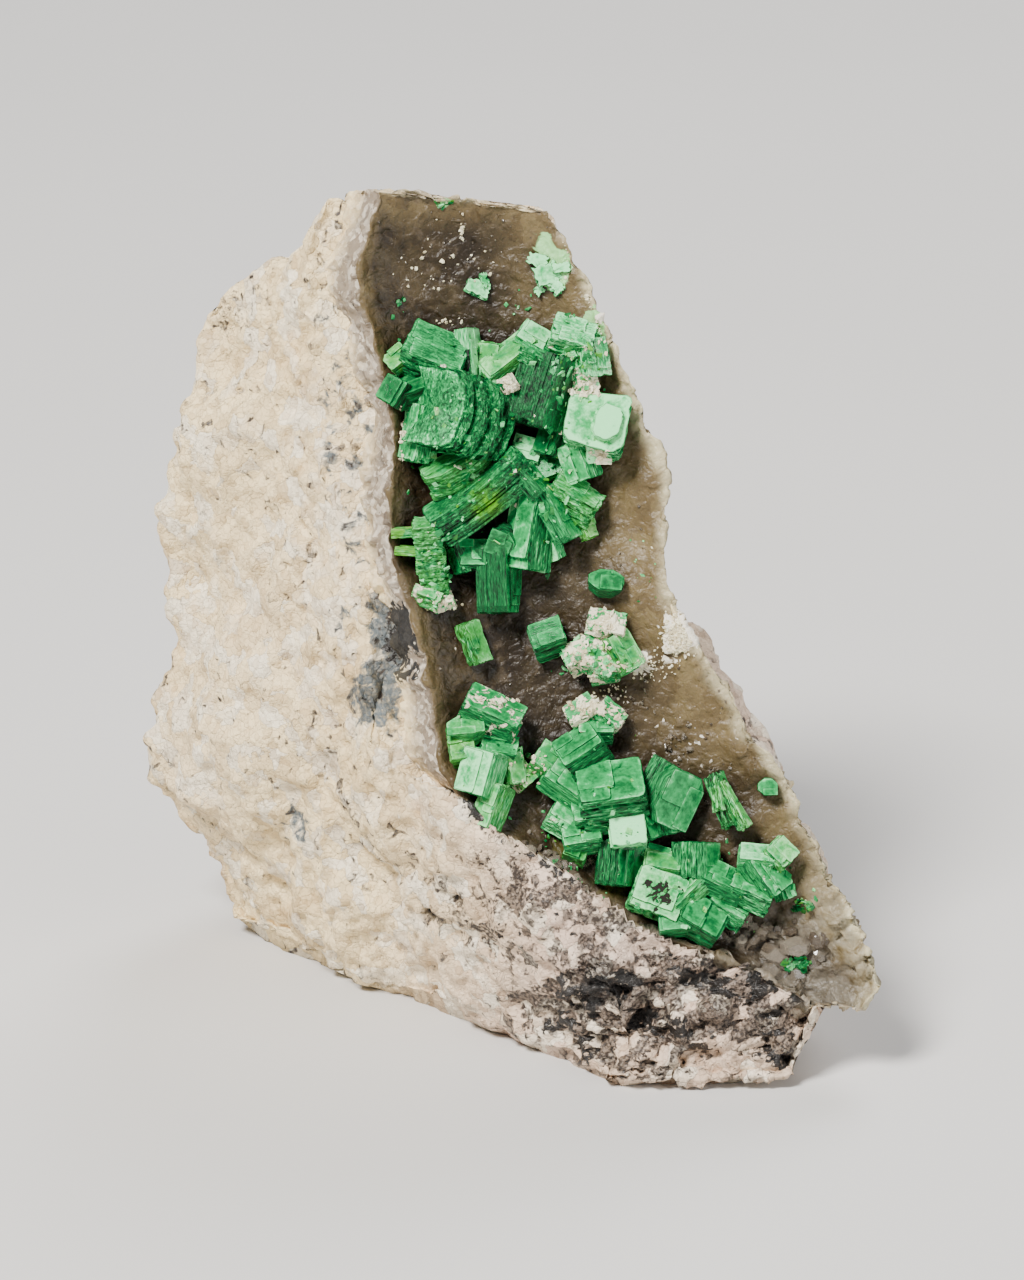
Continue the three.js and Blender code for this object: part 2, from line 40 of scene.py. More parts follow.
# The specimen's own frame is in millimetres, with the foot on z = 0 and the crusted front facing -Y.
specimen = {
    "lean": np.radians(20),  # how far the crusted front leans back
    "foot": 0.1,  # where the plane of the front meets the ground
    "planMiddle": np.array([-1.1, 14.7, 0.0]),  # own position of the middle of the plan
    "millimetre": 0.001,
}


def onFace(x, s, d=0.0):
    # point of the leaning front: x across, s up the slope, d out of it
    x, s, d = np.broadcast_arrays(x, s, d)
    sin, cos = np.sin(specimen["lean"]), np.cos(specimen["lean"])
    return np.stack([x, specimen["foot"] + s * sin - d * cos, s * cos + d * sin], -1)


specimen["up"] = onFace(0, 1) - onFace(0, 0)
specimen["out"] = onFace(0, 0, 1) - onFace(0, 0)


def fromFace(points):
    # the reverse: how far across, up the slope and out of the front each point is
    sin, cos = np.sin(specimen["lean"]), np.cos(specimen["lean"])
    y, z = points[..., 1] - specimen["foot"], points[..., 2]
    return points[..., 0], y * sin + z * cos, z * sin - y * cos


def ramp(value, low, high):
    # smooth step from 0 at low to 1 at high
    t = np.clip((value - low) / (high - low), 0, 1)
    return t * t * (3 - 2 * t)


def chance(cell, seed):
    # repeatable number from 0 to 1 for each lattice cell
    wave = np.sin(cell @ np.array([127.1, 311.7, 74.7]) + seed * 53.3) * 43758.5453
    return wave - np.floor(wave)


def wander(points, size, seed):
    # smooth noise from -1 to 1: random numbers on a lattice, eased from corner to corner
    place = points / size
    base = np.floor(place)
    share = ramp(place - base, 0, 1)
    total = np.zeros(place.shape[:-1])
    for corner in np.ndindex(2, 2, 2):
        weight = np.where(corner, share, 1 - share).prod(-1)
        total += weight * chance(base + corner, seed)
    return total * 2 - 1


def jittered(points, size, seed):
    # the 27 jittered lattice points round each point: each one's cell, and the way from it in cell sizes
    place = points / size
    base = np.floor(place)
    for step in np.ndindex(3, 3, 3):
        lattice = base + np.array(step) - 1
        middle = lattice + np.stack([chance(lattice, seed + n) for n in range(3)], -1)
        yield lattice, place - middle


def cells(points, size, seed):
    # cells nearest to jittered lattice points: the cell, how near its edge is (0 at the edge),
    # and the way from its middle to the point in cell sizes
    near = np.full(points.shape[:-1], 9.0)
    second = near.copy()
    cell, away = np.zeros_like(points), np.zeros_like(points)
    for lattice, way in jittered(points, size, seed):
        distance = np.linalg.norm(way, axis=-1)
        closer = distance < near
        second = np.where(closer, near, np.minimum(second, distance))
        cell[closer] = lattice[closer]
        away[closer] = way[closer]
        near = np.where(closer, distance, near)
    return cell, second - near, away


def blocks(points, size, seed, sharp=9):
    # broken-block relief: the block heights, from -0.5 to 0.5, blended over a short way at block edges
    total, norm = np.zeros(points.shape[:-1]), np.zeros(points.shape[:-1])
    for lattice, way in jittered(points, size, seed):
        weight = np.exp(-sharp * np.linalg.norm(way, axis=-1))
        total += weight * (chance(lattice, seed + 3) - 0.5)
        norm += weight
    return total / norm


def facets(points, size, seed, tilt=1.0):
    # grains with flat faces: each cell is a plane with its own height and its own tilt
    cell, _, away = cells(points, size, seed)
    turn = np.stack([chance(cell, seed + n) - 0.5 for n in (4, 5, 6)], -1)
    return size * (0.5 * (chance(cell, seed + 3) - 0.5) + tilt * (away * turn).sum(-1))


def layered(kind, points, layers):
    # sum of one kind of relief or noise at several sizes; each layer is its height, its size, its seed
    # and, for blocks and facets, how sharp or how tilted they are
    return sum(height * kind(points, *layer) for height, *layer in layers)


def ringFaces(count, around):
    # quads from ring to ring, and fans that shut both ends; the two end points come after the rings
    low, i = np.meshgrid(np.arange(count - 1) * around, np.arange(around), indexing="ij")
    j = (i + 1) % around
    quads = np.stack([low + i, low + j, low + around + j, low + around + i], -1).reshape(-1, 4)
    i, j = np.arange(around), (np.arange(around) + 1) % around
    last = count * around
    foot = np.stack([np.full(around, last), j, i], -1)
    crown = np.stack([np.full(around, last + 1), last - around + i, last - around + j], -1)
    return quads, np.concatenate([foot, crown])


def tube(rings):
    # closed surface through rings with equal counts (ring, point, xyz)
    points = np.concatenate([rings.reshape(-1, 3), rings[:1].mean(1), rings[-1:].mean(1)])
    return points, *ringFaces(*rings.shape[:2])


def withEnds(values):
    # values at the ring points, with 0 for the two end points
    return np.append(values.ravel(), [0, 0])


def outwards(rings):
    # direction straight out of the surface at each ring point, from its neighbours up and around
    up = np.gradient(rings, axis=0)
    around = np.roll(rings, -1, axis=1) - np.roll(rings, 1, axis=1)
    out = np.cross(around, up)
    return out / np.maximum(np.linalg.norm(out, axis=-1, keepdims=True), 1e-9)


def makePiece(name, points, quads, triangles, material, slot, nodes=(), smooth=False, **attributes):
    # mesh from whole arrays, in metres in the shared frame, riding on the specimen's one body
    mesh = bpy.data.meshes.new(name)
    mesh.vertices.add(len(points))
    placed = (points - specimen["planMiddle"]) * specimen["millimetre"]
    mesh.vertices.foreach_set("co", placed.astype(np.float32).ravel())
    corners = np.concatenate([quads.ravel(), triangles.ravel()])
    sizes = np.concatenate([np.full(len(quads), 4), np.full(len(triangles), 3)])
    mesh.loops.add(len(corners))
    mesh.loops.foreach_set("vertex_index", corners.astype(np.int32))
    mesh.polygons.add(len(sizes))
    mesh.polygons.foreach_set("loop_start", (np.cumsum(sizes) - sizes).astype(np.int32))
    mesh.polygons.foreach_set("loop_total", sizes.astype(np.int32))
    mesh.polygons.foreach_set("use_smooth", np.full(len(sizes), smooth))
    mesh.update(calc_edges=True)
    for label, values in attributes.items():
        kind, field = ("FLOAT", "value") if values.ndim == 1 else ("FLOAT_VECTOR", "vector")
        layer = mesh.attributes.new(label, kind, "POINT")
        layer.data.foreach_set(field, values.astype(np.float32).ravel())
    mesh.materials.append(material)
    piece = bpy.data.objects.new(name, mesh)
    bpy.context.scene.collection.objects.link(piece)
    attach(piece, "root")
    if nodes:
        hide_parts(*nodes)
    print(f"{name}: {len(quads) * 2 + len(triangles)} triangles")
    return piece


# Shader helpers

class Shade:
    # a value, colour or place worked out by shader nodes; +, - and * make the Math node for it
    def __init__(self, socket):
        self.socket = socket
        self.tree = socket.id_data

    def __add__(self, other):
        return maths("ADD", self, other)

    def __radd__(self, other):
        return maths("ADD", other, self)

    def __sub__(self, other):
        return maths("SUBTRACT", self, other)

    def __rsub__(self, other):
        return maths("SUBTRACT", other, self)

    def __mul__(self, other):
        return maths("MULTIPLY", self, other)

    def held(self):
        # kept between 0 and 1 by the Math node that made it
        self.socket.node.use_clamp = True
        return self


def add(tree, kind, inputs=None, **properties):
    # new node with its properties set and each input given a value or linked to a shade
    node = tree.nodes.new("ShaderNode" + kind)
    for label, value in properties.items():
        setattr(node, label, value)
    for label, value in (inputs or {}).items():
        if isinstance(value, Shade):
            tree.links.new(value.socket, node.inputs[label])
        else:
            node.inputs[label].default_value = value
    return node


def worked(kind, inputs, output=0, **properties):
    # one output of a new node that stands in the same tree as the shades that feed it
    tree = next(value.tree for value in inputs.values() if isinstance(value, Shade))
    return Shade(add(tree, kind, inputs, **properties).outputs[output])


def maths(operation, first, second):
    return worked("Math", {0: first, 1: second}, operation=operation)


def swing(value, gain):
    # value moved to lie round 0, gain times as strong
    return (value - 0.5) * gain


def vectors(operation, first, second):
    return worked("VectorMath", {0: first, 1: second}, operation=operation)


def scaled(place, by):
    return worked("VectorMath", {0: place, "Scale": by}, operation="SCALE")


def blend(share, low, high, how="MIX"):
    # colour from low to high by share
    low, high = ((*colour, 1.0) if isinstance(colour, tuple) else colour for colour in (low, high))
    return worked("Mix", {0: share, 6: low, 7: high}, 2, data_type="RGBA", blend_type=how)


def between(share, low, high):
    # number from low to high by share
    return worked("Mix", {0: share, 2: low, 3: high}, data_type="FLOAT")


def colourRamp(share, stops):
    # colour read off a list of [place, colour]
    shade = worked("ValToRGB", {0: share})
    elements = shade.socket.node.color_ramp.elements
    while len(elements) < len(stops):
        elements.new(0.5)
    for element, (place, colour) in zip(elements, stops):
        element.position = place
        element.color = (*colour, 1.0)
    return shade


def spread(value, low, high):
    # value eased from 0 at low to 1 at high
    return worked("MapRange", {0: value, 1: low, 2: high}, interpolation_type="SMOOTHSTEP")


def painted(tree, label, output="Fac"):
    # value laid on the mesh by the code that shaped it
    return Shade(add(tree, "Attribute", attribute_name=label).outputs[output])


def risen(value, level, amount, share, gain):
    # 1 where the value rises over a level that the painted amount lowers, 0 elsewhere
    return ((value - (level - amount * share)) * gain).held()


def shaded(colour, tone, stops):
    # colour darkened by the shade read off a list of [place, shade]
    return blend(1.0, colour, colourRamp(tone, stops), "MULTIPLY")


def patchy(label, cloud, low, high):
    # painted value, kept only where the cloud is thick
    return painted(cloud.tree, label) * spread(cloud, low, high)


def blotched(label, cloud, gain, low, high):
    # painted value with the crooked outline that the cloud gives it
    return spread(painted(cloud.tree, label) + swing(cloud, gain), low, high)


def noise(place, scale, detail=2.0, distortion=0.0):
    settings = {"Vector": place, "Scale": scale, "Detail": detail, "Distortion": distortion}
    return worked("TexNoise", settings, "Fac")


def inMillimetres(tree):
    return scaled(Shade(add(tree, "TexCoord").outputs["Object"]), 1000.0)


def makeGroup(name, inputs, outputs):
    # empty shader group with named inputs and outputs, and its two end nodes
    group = bpy.data.node_groups.new(name, "ShaderNodeTree")
    for label, kind, value in inputs:
        socket = group.interface.new_socket(label, in_out="INPUT", socket_type="NodeSocket" + kind)
        if value is not None:
            socket.default_value = value
    for label, kind in outputs:
        group.interface.new_socket(label, in_out="OUTPUT", socket_type="NodeSocket" + kind)
    given = {socket.name: Shade(socket) for socket in group.nodes.new("NodeGroupInput").outputs}
    return group, given, group.nodes.new("NodeGroupOutput").inputs


def grainsGroup():
    # interlocked mineral grains: Voronoi cells with wandering edges. Tone is one random number per
    # grain, Seam is 1 along grain boundaries, Height is a tilted flat top on each grain
    group, given, made = makeGroup(
        "interlockedGrains",
        [("Place", "Vector", None), ("Size", "Float", 1.0), ("Wander", "Float", 0.3),
         ("Seam Width", "Float", 0.06)],
        [("Tone", "Float"), ("Second", "Float"), ("Seam", "Float"), ("Height", "Float")],
    )
    size = worked("CombineXYZ", {axis: given["Size"] for axis in range(3)})
    place = vectors("DIVIDE", given["Place"], size)
    swirl = worked("TexNoise", {"Vector": place, "Scale": 1.9, "Detail": 4.0}, "Color")
    pushed = vectors("SUBTRACT", swirl, (0.5, 0.5, 0.5))
    place = vectors("ADD", place, scaled(pushed, given["Wander"]))
    grain = add(group, "TexVoronoi", {"Vector": place, "Scale": 1.0}).outputs
    border = worked("TexVoronoi", {"Vector": place, "Scale": 1.0}, "Distance", feature="DISTANCE_TO_EDGE")
    random = add(group, "SeparateColor", {0: Shade(grain["Color"])})
    tone, second, third = (Shade(socket) for socket in random.outputs)
    seam = worked("MapRange", {0: border, 1: given["Seam Width"], 2: 0.0}, interpolation_type="SMOOTHSTEP")
    away = vectors("SUBTRACT", place, Shade(grain["Position"]))
    turn = vectors("SUBTRACT", Shade(grain["Color"]), (0.5, 0.5, 0.5))
    slant = worked("VectorMath", {0: away, 1: turn}, "Value", operation="DOT_PRODUCT")
    height = slant + third * 0.6 - seam * 0.12
    for label, shade in (("Tone", tone), ("Second", second), ("Seam", seam), ("Height", height)):
        group.links.new(shade.socket, made[label])
    return group


interlockedGrains = grainsGroup()


def grains(place, size, wandering=0.3, seam=0.06):
    # what the group puts out, by name
    node = add(place.tree, "Group", node_tree=interlockedGrains)
    place.tree.links.new(place.socket, node.inputs["Place"])
    for label, value in (("Size", size), ("Wander", wandering), ("Seam Width", seam)):
        node.inputs[label].default_value = value
    return {socket.name: Shade(socket) for socket in node.outputs}


def newMaterial(name):
    # new material with its node tree and its one shader
    material = bpy.data.materials.new(name)
    material.use_nodes = True
    tree = material.node_tree
    return material, tree, tree.nodes["Principled BSDF"]


def finishSurface(shader, colour, roughness, height, depth, **constants):
    # sends the worked-out colour, roughness and relief (depth in metres) to the shader
    normal = worked("Bump", {"Height": height, "Distance": depth, "Strength": 1.0})
    for label, shade in (("Base Color", colour), ("Roughness", roughness), ("Normal", normal)):
        colour.tree.links.new(shade.socket, shader.inputs[label])
    for label, value in constants.items():
        shader.inputs[label].default_value = value


# Granite

graniteLook = {
    "cream": (0.97, 0.78, 0.45), "rose": (0.80, 0.61, 0.48), "white": (0.99, 0.91, 0.74),
    "smoke": (0.040, 0.027, 0.019), "ochre": (0.52, 0.27, 0.07), "slate": (0.125, 0.148, 0.153),
    "biotiteAndShade": (0.017, 0.014, 0.012), "hole": (0.010, 0.006, 0.004), "crack": (0.07, 0.045, 0.03),
}


def graniteMaterial():
    # cream to rose feldspar clouded white and ochre; smoky quartz patches with crooked outlines, dark
    # mica and hairline cracks show as much as smoke, dark and their own noises let them. Part
    # of the dark is painted shade: in crevices, pits and a groove, and where the low right faces down
    look = graniteLook
    material, tree, shader = newMaterial("granite")
    place = inMillimetres(tree)
    coarse = grains(place, 1.1, 0.8, 0.05)
    fine = grains(place, 0.42, 0.8, 0.10)
    slow = noise(place, 0.20, 3.0)
    cloud = noise(place, 0.75, 5.0, 0.8)
    blotch = noise(place, 1.5, 3.0, 0.6)
    fleck = noise(place, 2.8, 4.0, 0.6)
    gritty = noise(place, 5.0, 4.0)
    smoke = painted(tree, "smoke")
    colour = blend(painted(tree, "rose"), look["cream"], look["rose"])
    colour = blend(spread(coarse["Tone"] + cloud * 0.6, 0.85, 1.15) * 0.7, colour, look["white"])
    stain = patchy("ochre", cloud, 0.3, 0.6) + spread(slow, 0.50, 0.70) * 0.15
    colour = blend(stain.held(), colour, look["ochre"])
    # blue-grey blots, one of them painted shadow along a groove
    slate = blotched("slate", blotch, 2.4, 0.40, 0.75) * (0.45 + gritty)
    colour = blend(slate.held(), colour, look["slate"])
    colour = shaded(colour, coarse["Second"], [[0, (0.80, 0.77, 0.74)], [0.5, (1, 1, 1)]])
    colour = shaded(colour, fine["Tone"], [[0, (0.78, 0.74, 0.70)], [0.4, (1, 1, 1)]])
    # smoky quartz and painted shade: where the blotches rise over a level that smoke lowers,
    # and some of the fine grains
    smoky = risen(blotch, 0.70, smoke, 0.23, 16.0)
    large = risen(coarse["Second"] + swing(gritty, 0.5), 1.30, smoke, 0.72, 9.0)
    small = risen(fine["Second"] + swing(cloud, 0.9), 1.08, smoke, 0.20, 12.0)
    smoky = maths("MAXIMUM", maths("MAXIMUM", smoky, large), small)
    smoky = (smoky * (0.66 + spread(gritty, 0.38, 0.60) * 0.34)).held()
    colour = blend(smoky, colour, look["smoke"])
    cracks = coarse["Seam"] * spread(cloud, 0.52, 0.60) * (0.1 + smoke * 0.5)
    colour = blend(cracks, colour, look["crack"])
    micaAndShade = risen(fleck, 0.74, painted(tree, "dark"), 0.32, 14.0)
    colour = blend(micaAndShade, colour, look["biotiteAndShade"])
    # painted shade: the pits coloured near black
    colour = blend(painted(tree, "pit"), colour, look["hole"])
    roughness = 0.75 - maths("MAXIMUM", smoky, micaAndShade) * 0.4
    height = coarse["Height"] * 0.9 + fine["Height"] * 0.8 + gritty * 0.5
    finishSurface(shader, colour, roughness, height, 0.00022)
    return material


def slope(x, s):
    # corner of a rock edge given by its place on the leaning front
    return onFace(x, s).tolist()


granite = {
    "columns": (34, 40, 50, 36, 40, 38, 38, 28, 64, 34),  # steps from each rock edge to the next
    "rows": 200, "crownRows": 16, "soleInset": 0.07, "chamfer": 0.8,
    "edges": {  # each rock edge from the foot to the crown, in order round the piece
        "ridge": [[-3.8, 10, 0], [-3.9, 7.6, 6], slope(-2.9, 13.6), slope(-3.7, 17.5), slope(-4.4, 22),
                  slope(-6.0, 27.7), slope(-5.9, 34), slope(-7.3, 39.4), slope(-7.0, 45)],
        "nose": [[6, 0.4, 0], [5.2, 1.4, 4], slope(3.8, 8.8), slope(2.4, 15), slope(1.2, 22), slope(1, 30),
                 slope(-0.6, 37), slope(-2.6, 45.3)],
        "rim": [[13.7, 0.6, 0], slope(15.6, 3.6), slope(17, 6.9), slope(16, 9.8), slope(13.6, 14.8),
                slope(11.3, 18.6), slope(8.6, 22.8), slope(7.2, 25.7), slope(7.3, 30.6), slope(5.7, 34.8),
                slope(3.4, 40), slope(1.3, 44.6)],
        "rightBack": [[12.8, 9, 0], [16.2, 9.5, 6], [13.8, 11, 12], [9.2, 14, 18], [6.8, 16, 23.5],
                      [6.5, 18, 28.5], [4.2, 19.5, 34], [1.0, 20.0, 40]],
        "backRight": [[9, 20, 0], [12.4, 20.5, 6], [11, 22, 12], [7, 23, 18], [4.2, 24, 24], [1.5, 24, 30],
                      [-2.6, 22.8, 38]],
        "back": [[-2, 25.5, 0], [-2.4, 27.6, 7], [-3, 28.4, 14], [-4, 28.2, 21], [-5, 27.2, 27],
                 [-6, 25, 33.8]],
        "backLeft": [[-10.5, 26, 0], [-13, 27.6, 7], [-15.2, 27.6, 14], [-14.8, 27, 20],
                     [-12.6, 25.6, 29.6]],
        "farLeft": [[-15.2, 20.6, 0], [-16.1, 21.2, 4], [-18.9, 21.4, 7.6], [-19.6, 21.4, 12],
                    [-18.1, 21.4, 16.8], [-18.5, 21.4, 22], [-17.3, 21.4, 28.4], [-16, 21.6, 34.2]],
        "leftMiddle": [[-9.4, 15.2, 0], [-10.2, 13.6, 7], [-11, 13.4, 14], [-12, 14.6, 21],
                       [-12.6, 15.8, 27], [-12.6, 17.4, 33], [-12, 19.4, 37.2]],
        "leftNear": [[-6.2, 12.4, 0], [-6.6, 10.2, 7], [-7, 9.4, 14], [-8, 10.9, 21], [-9, 12.8, 27],
                     [-9, 14.6, 34], [-9.7, 17, 40.4]],
    },
    # relief: height, size, seed and sharpness of each layer of blocks, large to small
    "relief": [(1.5, 5.0, 3, 9), (0.7, 2.4, 11, 9), (0.52, 1.2, 19, 13), (0.36, 0.62, 27, 12)],
    "farRelief": [(1.3, 3.0, 101, 6), (0.5, 1.4, 105, 8)],  # more of it on the sides and back
    "lumpSize": 1.0, "lumpRise": 0.9, "rubble": [(0.6, 0.65, 36, 11)], "lumpBend": 0.35,
    "creviceDepth": 0.45, "creviceWidth": 0.2, "pitDepth": 0.5, "spotDepth": 0.9,
    "hollowDepth": 0.25, "hollowSize": 1.7, "hollowShare": 0.1,
    "crownRise": 2.0, "sway": 0.9,
    "micaShare": 0.10, "smokeShare": 0.25,  # how much there is away from any spot
    "micaLumps": (0.05, 0.6), "brownLumps": (0.10, 0.35),  # share of the lumps: anywhere, and more in spots
    # along the crust's left edge: how far off its middle is, its reach and how strong
    "darkAlongEdge": (0.1, 0.5, 0.6), "haze": (1.6, 1.3, 0.42),
    "seat": [(0.7, 1.9, 49), (0.5, 0.8, 50)],  # how unevenly it sinks behind the crust
    # places on the front, with their reach across and up the slope, and how strong
    "dark": [[(10.0, 5.5), (1.9, 0.6), 0.95], [(13.0, 5.2), (1.8, 1.0), 1.05],
             [(-6.0, 22.5), (0.6, 1.5), 1.0], [(-7.3, 20.0), (0.7, 0.7), 0.45],
             [(4.4, 5.4), (1.3, 0.8), 0.7], [(9.0, 6.4), (2.6, 0.8), 0.5], [(2.0, 9.5), (5.0, 3.0), 0.30],
             [(-1.8, 14.6), (0.7, 1.3), 0.6], [(12.9, 1.9), (1.5, 0.9), 1.1], [(3.0, 3.4), (3.5, 0.8), 0.5],
             [(7.6, 3.2), (0.8, 0.4), 1.0], [(6.75, 4.0), (0.35, 1.0), 1.1], [(9.3, 1.9), (0.7, 0.7), 1.0],
             [(8.7, 4.5), (1.4, 0.4), -0.7], [(10.9, 3.1), (0.5, 1.4), -1.0],
             [(7.9, 1.9), (0.6, 0.6), -1.0], [(12.2, 3.4), (0.8, 0.35), -0.8]],
    "hollows": [[(6.75, 4.0), (0.35, 1.0), 0.7], [(9.3, 1.9), (0.7, 0.7), 0.7],
                [(7.6, 3.2), (0.8, 0.4), 0.4], [(10.9, 3.1), (0.5, 1.4), -0.4],
                [(7.9, 1.9), (0.6, 0.6), -0.5], [(13.0, 5.0), (1.5, 0.7), 0.3]],
    # blue-grey blots; the long thin one at (-9.3, 33.2) is painted shadow along a groove
    "slate": [[(-7.4, 19.6), (1.0, 1.6), 1.0], [(-11.1, 13.2), (0.8, 1.4), 0.7],
              [(-9.3, 33.2), (0.5, 2.6), 0.5], [(-6.2, 22.6), (0.8, 2.0), 1.5],
              [(-6.0, 28.5), (0.5, 2.2), 0.6], [(4.3, 5.3), (1.1, 0.9), 1.1],
              [(-8.6, 24.0), (0.6, 1.0), 0.5]],
    "ochre": [[(-4.8, 14.4), (0.7, 0.9), 0.55], [(-12.1, 8.4), (0.9, 0.7), 0.5],
              [(-8.4, 31.5), (0.6, 1.0), 0.3], [(3.4, 12.0), (1.3, 0.5), 0.4],
              [(-7.4, 16.0), (1.2, 0.9), 0.3], [(6.9, 10.0), (1.3, 0.35), 0.45],
              [(-8.4, 21.2), (0.5, 0.6), 0.3]],
    # smoky quartz; the big spot low on the right is painted shadow where the rock faces down
    "smoke": [[(11.4, 3.8), (4.5, 2.6), 1.2], [(6.0, 4.4), (4.0, 2.8), 0.8], [(2.5, 9.5), (5.0, 3.0), 0.55],
              [(-1.0, 12.5), (2.0, 2.5), 0.3], [(-6.4, 12.0), (1.2, 2.0), 0.2],
              [(-3.5, 8.8), (1.8, 2.2), 0.35],
              [(1.5, 3.4), (3.5, 1.4), 0.6], [(8.7, 4.5), (1.4, 0.4), -0.5],
              [(10.9, 3.1), (0.5, 1.4), -0.9], [(7.9, 1.9), (0.6, 0.6), -1.0],
              [(-5.6, 22.0), (0.9, 3.0), 0.5]],
    # pits: holes sunk into the front, coloured near black as painted shade
    "pits": [[(-4.4, 8.7), 0.42], [(-2.6, 9.7), 0.26], [(-0.4, 8.3), 0.2]],
}


def alongEdge(points, share):
    # uniform Catmull-Rom curve through the points: each span eased from the slopes at its two ends
    points = np.array(points, float)
    padded = np.concatenate([[2 * points[0] - points[1]], points, [2 * points[-1] - points[-2]]])
    place = np.clip(share, 0, 1) * (len(points) - 1)
    span = np.minimum(place.astype(int), len(points) - 2)
    t = (place - span)[:, None]
    before, low, high, after = (padded[span + n] for n in range(4))
    slopeLow, slopeHigh = (high - before) / 2, (after - low) / 2
    return (low + slopeLow * t + (3 * (high - low) - 2 * slopeLow - slopeHigh) * t ** 2
            + (2 * (low - high) + slopeLow + slopeHigh) * t ** 3)


def spots(x, s, places):
    # sum of soft spots on the front, each with a middle, a reach and a strength
    total = np.zeros_like(x)
    for (acrossAt, upAt), (reachAcross, reachUp), strength in places:
        away = ((x - acrossAt) / reachAcross) ** 2 + ((s - upAt) / reachUp) ** 2
        total += strength * np.exp(-away)
    return total


def graniteRings():
    # rock edges carried up from foot to crown, joined by straight stretches, with a worn foot and
    # a crown that closes towards its middle
    shares = np.linspace(0, 1, granite["rows"] + 1)
    edges = [alongEdge(points, shares) for points in granite["edges"].values()]
    stretches = []
    for n, (steps, here) in enumerate(zip(granite["columns"], edges)):
        there = edges[(n + 1) % len(edges)]
        t = (np.arange(steps) / steps)[None, :, None]
        stretches.append(here[:, None] * (1 - t) + there[:, None] * t)
    rings = np.concatenate(stretches, axis=1)
    # edges well behind the front are worn round
    worn = np.mean([np.roll(rings, n, axis=1) for n in range(-4, 5)], axis=0)
    rings = rings + (worn - rings) * ramp(-fromFace(rings)[2], 4, 8)[..., None]
    middle = rings[0].mean(0)
    sole = middle + (rings[0] - middle) * (1 - granite["soleInset"])
    rings[0, :, 2] = granite["chamfer"]
    rise = rings[:, :, 2]
    rings[:, :, 2] = np.maximum(rise, granite["chamfer"])
    top = rings[-1]
    closing = np.linspace(0, 1, granite["crownRows"] + 2)[1:-1, None, None]
    crown = top * (1 - closing) + top.mean(0) * closing
    crown[..., 2] += granite["crownRise"] * closing[..., 0] ** 0.5
    return np.concatenate([sole[None], rings, crown])


crust = {
    "thick": 2.8, "lipThick": 2.2, "dip": 1.9, "bottom": 4.4, "top": 45.5,
    "exposedFrom": 16.5, "flare": 1.5, "overhang": 0.8,
    "left": [[4.4, 14.8], [6.5, 11.4], [8.2, 6.4], [11.2, 2.4], [13.2, -1.0], [14.8, -2.2], [16.7, -3.6],
             [20.7, -4.1], [24.7, -4.9], [27.7, -6.1], [34, -5.8], [38.7, -7.1], [41.5, -7.6], [45, -6.6]],
    "right": [[4.4, 17.6], [5.3, 18.3], [6.9, 18.1], [9.1, 17.1], [13.8, 14.6], [15.1, 14.4], [17.7, 12.4],
              [21.2, 10.1], [22.6, 9.3], [25.5, 7.8], [30.7, 8.0], [32, 7.5], [38.1, 4.9], [42.4, 3.1],
              [45, 1.7]],
    "rows": 320, "frontColumns": 112, "wallColumns": 18, "backColumns": 14, "endRows": 8,
    "slant": 0.18, "slantFrom": 40.0,  # the top slopes down to the right
    # how crooked its edges and its back are: height, size and seed of each layer
    "jag": 0.22, "leftJags": [(1, 1.1, 71), (0.5, 0.45, 72)], "rightJags": [(1, 1.4, 73), (0.6, 0.5, 74)],
    "uneven": [(1, 2.3, 75), (0.4, 0.9, 76)], "notches": [(0.35, 1.3, 77), (0.2, 0.5, 78)],
    "bared": [(0.8, 1.7, 57), (0.4, 0.7, 58)],  # feldspar along the back of the right wall
    "rimRise": (0.55, 0.3), "edgeDrop": 0.35, "crumbRise": 0.22,
    "tip": (0.10, 0.62),  # height and size of the quartz tips all over it
    # blocks and flat-faced grains: height, size, seed and sharpness or tilt of each layer
    "lipBlocks": [(0.30, 1.3, 91, 7)], "swell": [(0.25, 3.2, 92, 5)],
    "rimFacets": [(0.6, 0.75, 89, 1.1), (0.35, 0.4, 86, 1.1)], "clearFacets": [(0.6, 1.0, 93, 1.2)],
    "druse": [(0.10, 0.55, 94, 1.0)], "broken": [(0.42, 0.95, 95, 1.3), (0.3, 0.5, 96, 1.0)],
    # places on the front: middle, reach across and up the slope, and how strong
    "crumb": [[(8.4, 23.0), (0.9, 1.1), 1.25], [(6.6, 21.6), (1.0, 0.6), 0.75],
              [(4.4, 39.2), (0.35, 0.7), 0.7]],
    "mint": [[(4.0, 38.3), (0.7, 1.4), 1.2], [(2.3, 41.1), (0.8, 1.2), 1.2], [(1.5, 42.5), (0.5, 0.7), 0.8],
             [(14.3, 6.5), (0.7, 0.4), 1.1], [(14.7, 9.4), (0.5, 0.35), 0.9],
             [(-3.4, 44.7), (0.5, 0.5), 0.9]],
    "olive": [[(4.3, 37.2), (0.3, 1.6), 0.9], [(3.0, 12.2), (1.2, 0.6), 0.7],
              [(5.6, 10.3), (1.6, 0.5), 0.7]],
    # painted glints: where they are thickest
    "glint": [[(8.6, 17.6), (1.6, 1.6), 0.9], [(6.2, 19.8), (0.9, 1.3), 0.9]],
    "band": [[(-5.7, 22.7), (1.1, 2.1), 1.4]],  # dark patch on the broken left wall
}


def crustEdge(side, s):
    # how far across the crust's left or right edge is at s up the slope
    places = np.array(crust[side])
    return np.interp(s, places[:, 0], places[:, 1])


